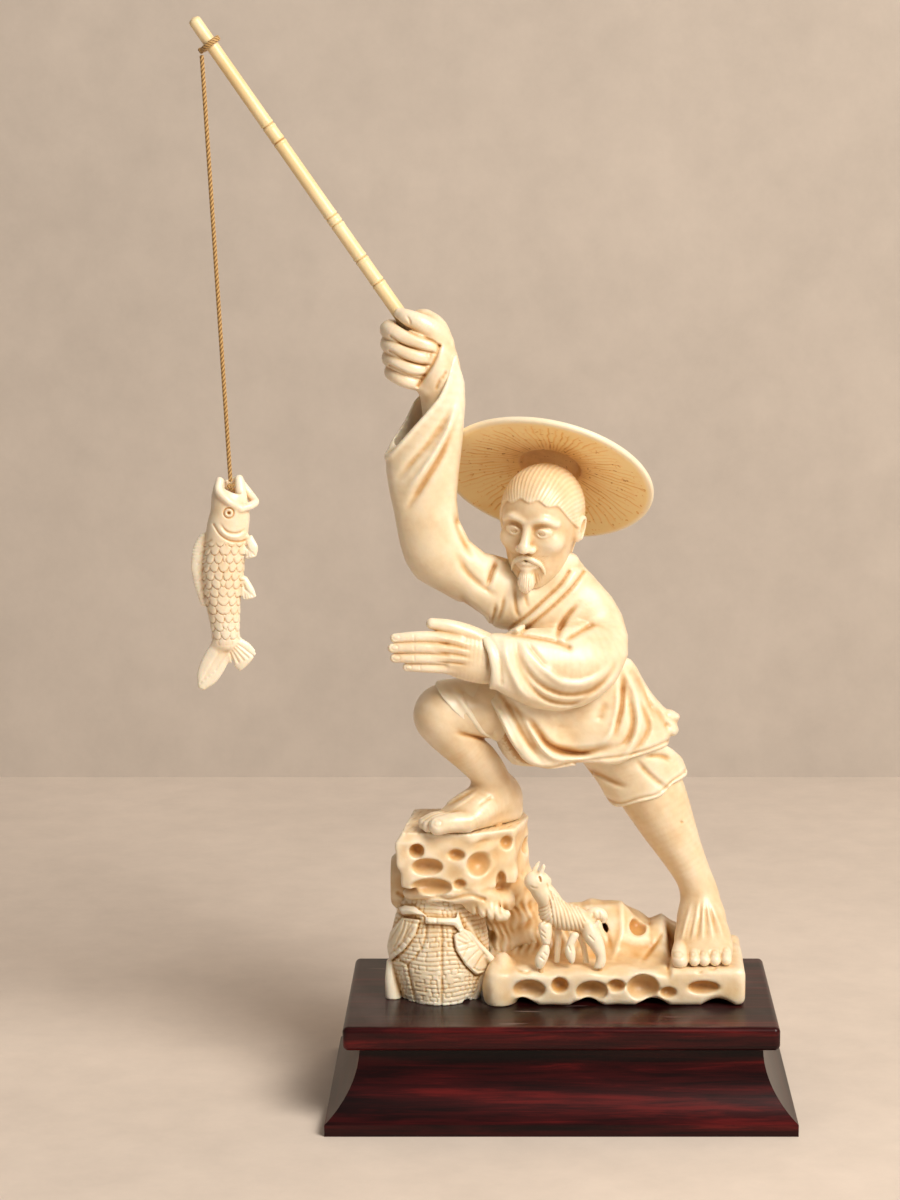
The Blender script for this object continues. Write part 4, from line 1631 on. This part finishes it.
block.field[where] += (0.34 * wall_fur * wall_hair).astype(np.float32)
for box in read_rows("""
        513 980 545 1000 4.6, 551 978 568 993 3.6, 576 981 608 1002 4.6, 607 980 625 992 3.2,
        627 975 659 1000 5, 688 981 719 994 4, 660 987 676 998 2.4"""):
    bore(block, *box[:4], -15.8, box[4], 0.9)
for left, up, right, down, y in read_rows("629 918 647 935 8, 600 919 614 929 12"):
    bore(block, left, up, right, down, y, 5.0, 0.6)
for x, y, z, size in read_rows("""
        -8 28 42 3.6, 6 28 46 4.2, 20 28 41 3.4, 33 28 44 3.8, 47 27.5 40 3.2, 59 16 39 3.4,
        59.5 4 40 3, -23.5 14 41 3.6, 13 26 54 2.8"""):
    cut_ball(block, (x, y, z), (size, size * 0.9, size * 0.8), 0.8)
press(block, """
    ridge 0.5 2: 586 905, 589 918, 594 932;
    groove 0.7 2.6: 598 912, 606 930, 612 950;
    ridge 0.6 2.6: 620 900, 622 930, 612 962;
    groove 0.6 2.4: 668 925, 655 945, 640 965;
    groove full 0.5 1.4: 668 969, 671 955, 675 940;
    groove 0.35 1: 696 971, 700 972.5, 703 971;
    groove 0.35 1: 708 969, 713 970, 717 967;
    groove 0.5 1.6: 515 969, 524 973, 532 971""", 24.0)
block.field[...] = np.maximum(block.field, (ROCK_FLOOR - block.z)[None, None, :])
carve_out("carved_rock_base", block, ROCK_IVORY, "rock_base")

# %% [markdown]
# ## The creel
# The basket is woven in flat rows a little over a millimetre high, split into bricks of uneven
# length, with upright seams where its panels meet. The form is a turned oval; row and brick
# are worked out from height and angle. A folded rim, two hanging flaps and the feet of the
# basket are raised on it afterwards.

# %% Creel
CREEL_ZOOM = 12.35                    # how much the basket's close-up enlarges the photograph


def raise_area(block, outline, height, behind, soft=0.8):
    """Raises what an outline of pixels covers on the near side by a height."""
    where, x, y, z = block.near_surface(3.0)
    inside = np.clip(0.5 - read_sheet(outline_sheet(outline), *photo_place(x, y, z)) / soft, 0, 1)
    front = np.clip((behind - y) / 1.5 + 0.5, 0, 1)
    block.field[where] -= (height * inside * front).astype(np.float32)


def creel_line(points):
    """Places in the basket's own close-up, turned to pixels of the photograph."""
    return [(378 + u / CREEL_ZOOM, 890 + v / CREEL_ZOOM) for u, v in read_rows(points)]


RIM = """
    255 215, 330 190, 450 205, 560 290, 600 335, 760 345, 960 345, 985 260, 1030 400, 1060 480,
    1010 520, 940 440, 780 425, 590 415, 585 320, 480 300, 300 300"""
LEFT_FLAP = """
    300 340, 510 370, 500 430, 460 560, 320 740, 150 880, 100 700, 150 520"""
RIGHT_FLAP = """
    1060 480, 930 560, 960 740, 1080 930, 1210 1050, 1400 990, 1450 900, 1300 700, 1150 520"""
block = Block((-60, -18, 32), (-17, 18, 71), 0.28)
add_limb(block, """
    -38 0 68 9.6 10.5, -38.2 0 64 10.6 11.5, -38.4 0 57 14 13.2, -38.4 -0.4 48 15.8 14.4,
    -38.4 -0.8 41 14.6 14.6, -38.3 -1 33 12 14.4, -38.3 -1 31 11.4 14.2""", blend=0.5)
where, x, y, z = block.near_surface(2.0)
smooth_parts = np.zeros_like(x)
for outline in (RIM, LEFT_FLAP, RIGHT_FLAP):
    away = read_sheet(outline_sheet(creel_line(outline)), *photo_place(x, y, z))
    inside = np.clip(0.5 - away / 0.8, 0, 1)
    smooth_parts = np.maximum(smooth_parts, inside * (y < 3.0))
angle = np.arctan2(x + 38.4, -y)
bent_z = z - 0.9 * np.cos(angle) + 0.25 * np.sin(angle * 6 + z * 0.2)
rows = bent_z / 1.45
row_number = np.floor(rows)
row_edge = np.abs(rows - np.round(rows)) * 1.45
length = 0.17 + 0.05 * np.sin(row_number * 12.9898)
brick = (angle + 0.37 * row_number + 0.5 * np.sin(row_number * 4.1)) / length
brick_edge = np.abs(brick - np.round(brick)) * length * 13.5
present = np.sin(np.round(brick) * 7.3 + row_number * 3.7) > -0.2
row_present = np.sin(np.floor(brick) * 3.1 + row_number * 9.7) > -0.75
weave = 0.28 * np.exp(-(row_edge / 0.22)**2) * row_present \
    + 0.32 * np.exp(-(brick_edge / 0.24)**2) * present \
    + 0.06 * np.sin(np.floor(brick) * 5.1 + row_number * 2.3)
block.field[where] += (weave * (1 - smooth_parts)).astype(np.float32)
PANEL_SEAMS = [("groove full", 0.55, 1.4, creel_line(p)) for p in read_lists("""
    788 430, 788 900, 780 1490;
    600 430, 590 560, 545 700, 440 850, 372 930, 400 1100, 440 1280, 480 1460;
    500 420, 470 520, 330 740, 150 890;
    240 830, 372 930;
    930 560, 960 740, 1080 930, 1210 1050""")]
press(block, PANEL_SEAMS, 0.0, 2.0)
raise_area(block, creel_line(RIM), 1.4, 0.0)
raise_area(block, creel_line(LEFT_FLAP), 0.9, 2.0)
raise_area(block, creel_line(RIGHT_FLAP), 1.2, 4.0)
press(block, [("ridge full", 0.5, 2.0, creel_line("""
    270 255, 400 260, 520 320, 600 380, 770 390, 950 395, 1010 450"""))], 0.0, 2.0)
add_limb(block, seen("""
    390 962 -4 1.1, 391 979 -5.5 1.9, 393.4 997 -6.5 2.5, 394.2 1005 -6.5 2.3"""), blend=0.7)
add_limb(block, seen("""
    467 923 -9 1, 474 940 -9.5 1.2, 484 952 -8.5 1.3, 493 962 -6.5 1.4"""), blend=0.6)
add_limb(block, seen("483 973 -6.5 1.7, 477 988 -7 1.7, 471.5 1003 -7.5 1.6"), blend=0.5)
LEAF = [("groove full", 0.30, 0.9, creel_line(p)) for p in read_lists("""
    330 380, 300 500, 200 700;
    380 400, 330 560, 230 740;
    300 360, 230 480, 140 640;
    430 380, 400 440, 320 600;
    520 360, 440 330, 320 340;
    500 430, 420 400, 330 380;
    420 480, 300 650, 140 800;
    370 570, 400 600;
    310 630, 350 665;
    255 690, 290 735;
    200 740, 235 790""")]
FAN = [("groove full", 0.30, 0.9, creel_line(p)) for p in read_lists("""
    1100 500, 1240 700, 1340 820;
    1000 560, 1100 620;
    980 620, 1120 680;
    990 690, 1160 640;
    1010 760, 1200 690;
    1050 830, 1110 700;
    1090 910, 1130 850, 1240 740;
    1190 970, 1240 880, 1300 790;
    1180 965, 1260 1000, 1390 960;
    1060 520, 1180 660;
    1250 1060, 1190 1200, 1130 1370;
    1300 1050, 1230 1200, 1160 1390""")]
RIM_ENDS = [("groove full", 0.4, 1.0, creel_line(p)) for p in read_lists(
    "720 350, 720 410; 600 335, 600 410")]
press(block, LEAF + FAN + RIM_ENDS, 2.0, 2.0)
for u in (330, 790, 1085):
    px, row = creel_line([(u, 1490)])[0]
    x, y, z = under_pixel(px, row, -9.0)
    cut_limb(block, [(x, -16.0, 31.0, 1.5), (x, -9.0, 33.5, 1.1)], blend=0.3)
block.field[...] = np.maximum(block.field, (ROCK_FLOOR - block.z)[None, None, :])
block.field[...] = np.maximum(block.field, (block.z - 70.0)[None, None, :])
carve_out("carved_creel", block, WEAVE_IVORY, "creel")

# %% [markdown]
# ## The stand, the pegs and the screws
# The stand is dark rosewood, turned red by its polish, so its solids stay and only get their
# finish. Streaks of black run along each board, so the pattern is stretched along the way that
# its grain runs: along the front and back mouldings and the board, and across on the two ends.
# Rubbing has left fine pale scratches on the top. Pegs are beech, screws are steel.

# %% Rosewood, beech and steel
def rosewood(name, stretch):
    """Polished dark rosewood: black streaks 1 to 3 mm apart in red brown, under a soft gloss."""
    m, spot = new_material(name)
    grain = node(m, "Mapping", {"Vector": spot, "Scale": stretch}).outputs[0]
    streak = noise(m, grain, 420.0, 6.0, 0.65, 0.4)
    both = joined(m, "ADD", streak, noise(m, grain, 90.0, 3.0, distortion=0.8))
    tint = ramp(m, mapped(m, both, 0.72, 1.3),
                [(0.0, "#090203"), (0.35, "#1b0506"), (0.7, "#350a0c"), (1.0, "#5a1414")])
    # worn scratches and dust: thin bright lines on the upward faces only
    scratch_way = node(m, "Mapping", {"Vector": spot, "Rotation": (0, 0, 0.6),
                                      "Scale": (0.10, 1.0, 1.0)}).outputs[0]
    thin = mapped(m, noise(m, scratch_way, 300.0, 2.0, distortion=0.5), 0.715, 0.735)
    dusty = mapped(m, noise(m, spot, 38.0, 5.0), 0.45, 0.75, 0.0, 0.35)
    up = node(m, "SeparateXYZ", {0: node(m, "NewGeometry").outputs["Normal"]}).outputs["Z"]
    worn = joined(m, "MULTIPLY", joined(m, "MAXIMUM", thin, dusty),
                  mapped(m, up, 0.85, 0.98, 0.0, 0.5))
    worn_tint = node(m, "Mix", {0: worn, 6: tint, 7: colour("#a08a86")}, data_type="RGBA")
    return finish_material(m, {
        "Base Color": worn_tint.outputs[2], "Normal": relief(m, streak, 0.18, 0.0002),
        "Roughness": mapped(m, worn, to_low=0.3, to_high=0.5), "IOR": 1.45,
        "Specular IOR Level": 0.2, "Coat Weight": 0.06, "Coat Roughness": 0.12})


ROSEWOOD_ALONG = rosewood("polished rosewood along", (0.06, 1.0, 1.0))
ROSEWOOD_ACROSS = rosewood("polished rosewood across", (1.0, 0.06, 1.0))
m, spot = new_material("turned beech")
grain = node(m, "Mapping", {"Vector": spot, "Scale": (1.0, 1.0, 0.1)}).outputs[0]
BEECH = finish_material(m, {"Roughness": 0.6, "Base Color": ramp(
    m, noise(m, grain, 1500.0, 4.0), [(0.3, "#c79a66"), (0.7, "#e0bd8c")])})
m, spot = new_material("zinc plated steel")
haze = noise(m, spot, 900.0, 3.0)
STEEL = finish_material(m, {
    "Base Color": ramp(m, haze, [(0.3, "#9a9a98"), (0.7, "#c4c4c0")]), "Metallic": 1.0,
    "Roughness": mapped(m, haze, to_low=0.25, to_high=0.45)})
FINISHES = {"stand_left_moulding": ROSEWOOD_ACROSS, "stand_right_moulding": ROSEWOOD_ACROSS,
            "stand_screws": STEEL}
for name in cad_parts:
    solid = bpy.data.objects.get(name)
    if solid is not None and not solid.hide_render:
        usual = ROSEWOOD_ALONG if name.startswith("stand") else BEECH
        put_on(solid, FINISHES.get(name, usual))
        print("finish:", name, solid.data.materials[0].name)

# %% [markdown]
# ## The table, the wall and the light
# A pale table with a wall behind it. The main lamp is high at the right and a little in front,
# a large weak one fills from the left, and the world gives a low even light.

# %% Table and wall
def plain_paint(name, code, one_sided=False):
    """Matt paint or paper: one colour with clouds and mottles of two sizes in it."""
    m, spot = new_material(name)
    both = joined(m, "ADD", noise(m, spot, 6.0, 3.0), noise(m, spot, 45.0, 6.0, 0.7))
    shade = mapped(m, both, 0.7, 1.3, 0.92, 1.07)
    tint = node(m, "VectorMath", {0: colour(code)[:3], 1: shade}, operation="MULTIPLY")
    paint = node(m, "BsdfPrincipled", {"Base Color": tint.outputs[0], "Roughness": 0.8,
                                       "Specular IOR Level": 0.25}).outputs[0]
    if one_sided:
        # the wall is clear from behind, so it doesn't hide the carving from a camera there
        paint = node(m, "MixShader", {
            0: node(m, "NewGeometry").outputs["Backfacing"], 1: paint,
            2: node(m, "BsdfTransparent").outputs[0]}).outputs[0]
    node(m, "OutputMaterial", {"Surface": paint})
    return m


EDGE_ROW = 777.0                      # the row where the table ends in the photograph


def table_back():
    """How far back the table goes: where the ray through its edge's row meets the floor."""
    up = (600.0 - EDGE_ROW) / LENS_PIXELS
    rise = up * math.cos(DOWN) - math.sin(DOWN)
    ahead = -EYE[2] / rise
    return EYE[1] + ahead * (math.cos(DOWN) + up * math.sin(DOWN))


back = table_back()
print("the table ends", round(back), "mm behind the middle")
flat = [(-2500, -2500, -0.01), (2500, -2500, -0.01), (2500, back, -0.01), (-2500, back, -0.01)]
table = show("table", flat, [[0, 1, 2, 3]], smooth=False)
put_on(table, plain_paint("warm matt table", "#dfd2c6"))
wall = show("wall", [(-4000, back, -400), (4000, back, -400), (4000, back, 3000),
                     (-4000, back, 3000)], [[0, 1, 2, 3]], smooth=False)
put_on(wall, plain_paint("grey beige wall", "#c7bcb1", one_sided=True))

# %% Lamps
def lamp(name, place, aim, power, width, tint):
    """A square soft lamp that looks at a point, with its place in metres."""
    data = bpy.data.lights.new(name, "AREA")
    data.energy, data.size = power, width
    data.color = colour(tint)[:3]
    made = bpy.data.objects.new(name, data)
    made.location = place
    away = np.subtract(place, aim)
    flat_way = math.hypot(away[0], away[1])
    made.rotation_euler = (math.atan2(flat_way, away[2]), 0,
                           math.atan2(away[1], away[0]) + math.pi / 2)
    bpy.context.scene.collection.objects.link(made)


lamp("key lamp", (0.74, -0.87, 1.09), (0, 0, 0.15), 28.0, 0.75, "#fff7ec")
lamp("fill lamp", (-0.8, -0.7, 0.5), (0, 0, 0.15), 0.4, 0.9, "#f6f4fb")
world = bpy.data.worlds.new("even light")
world.use_nodes = True
background = world.node_tree.nodes["Background"].inputs
background["Color"].default_value = colour("#f7efe6")
background["Strength"].default_value = 0.19
bpy.context.scene.world = world

# %% Sizes and finish
bpy.context.scene.view_settings.view_transform = "Standard"
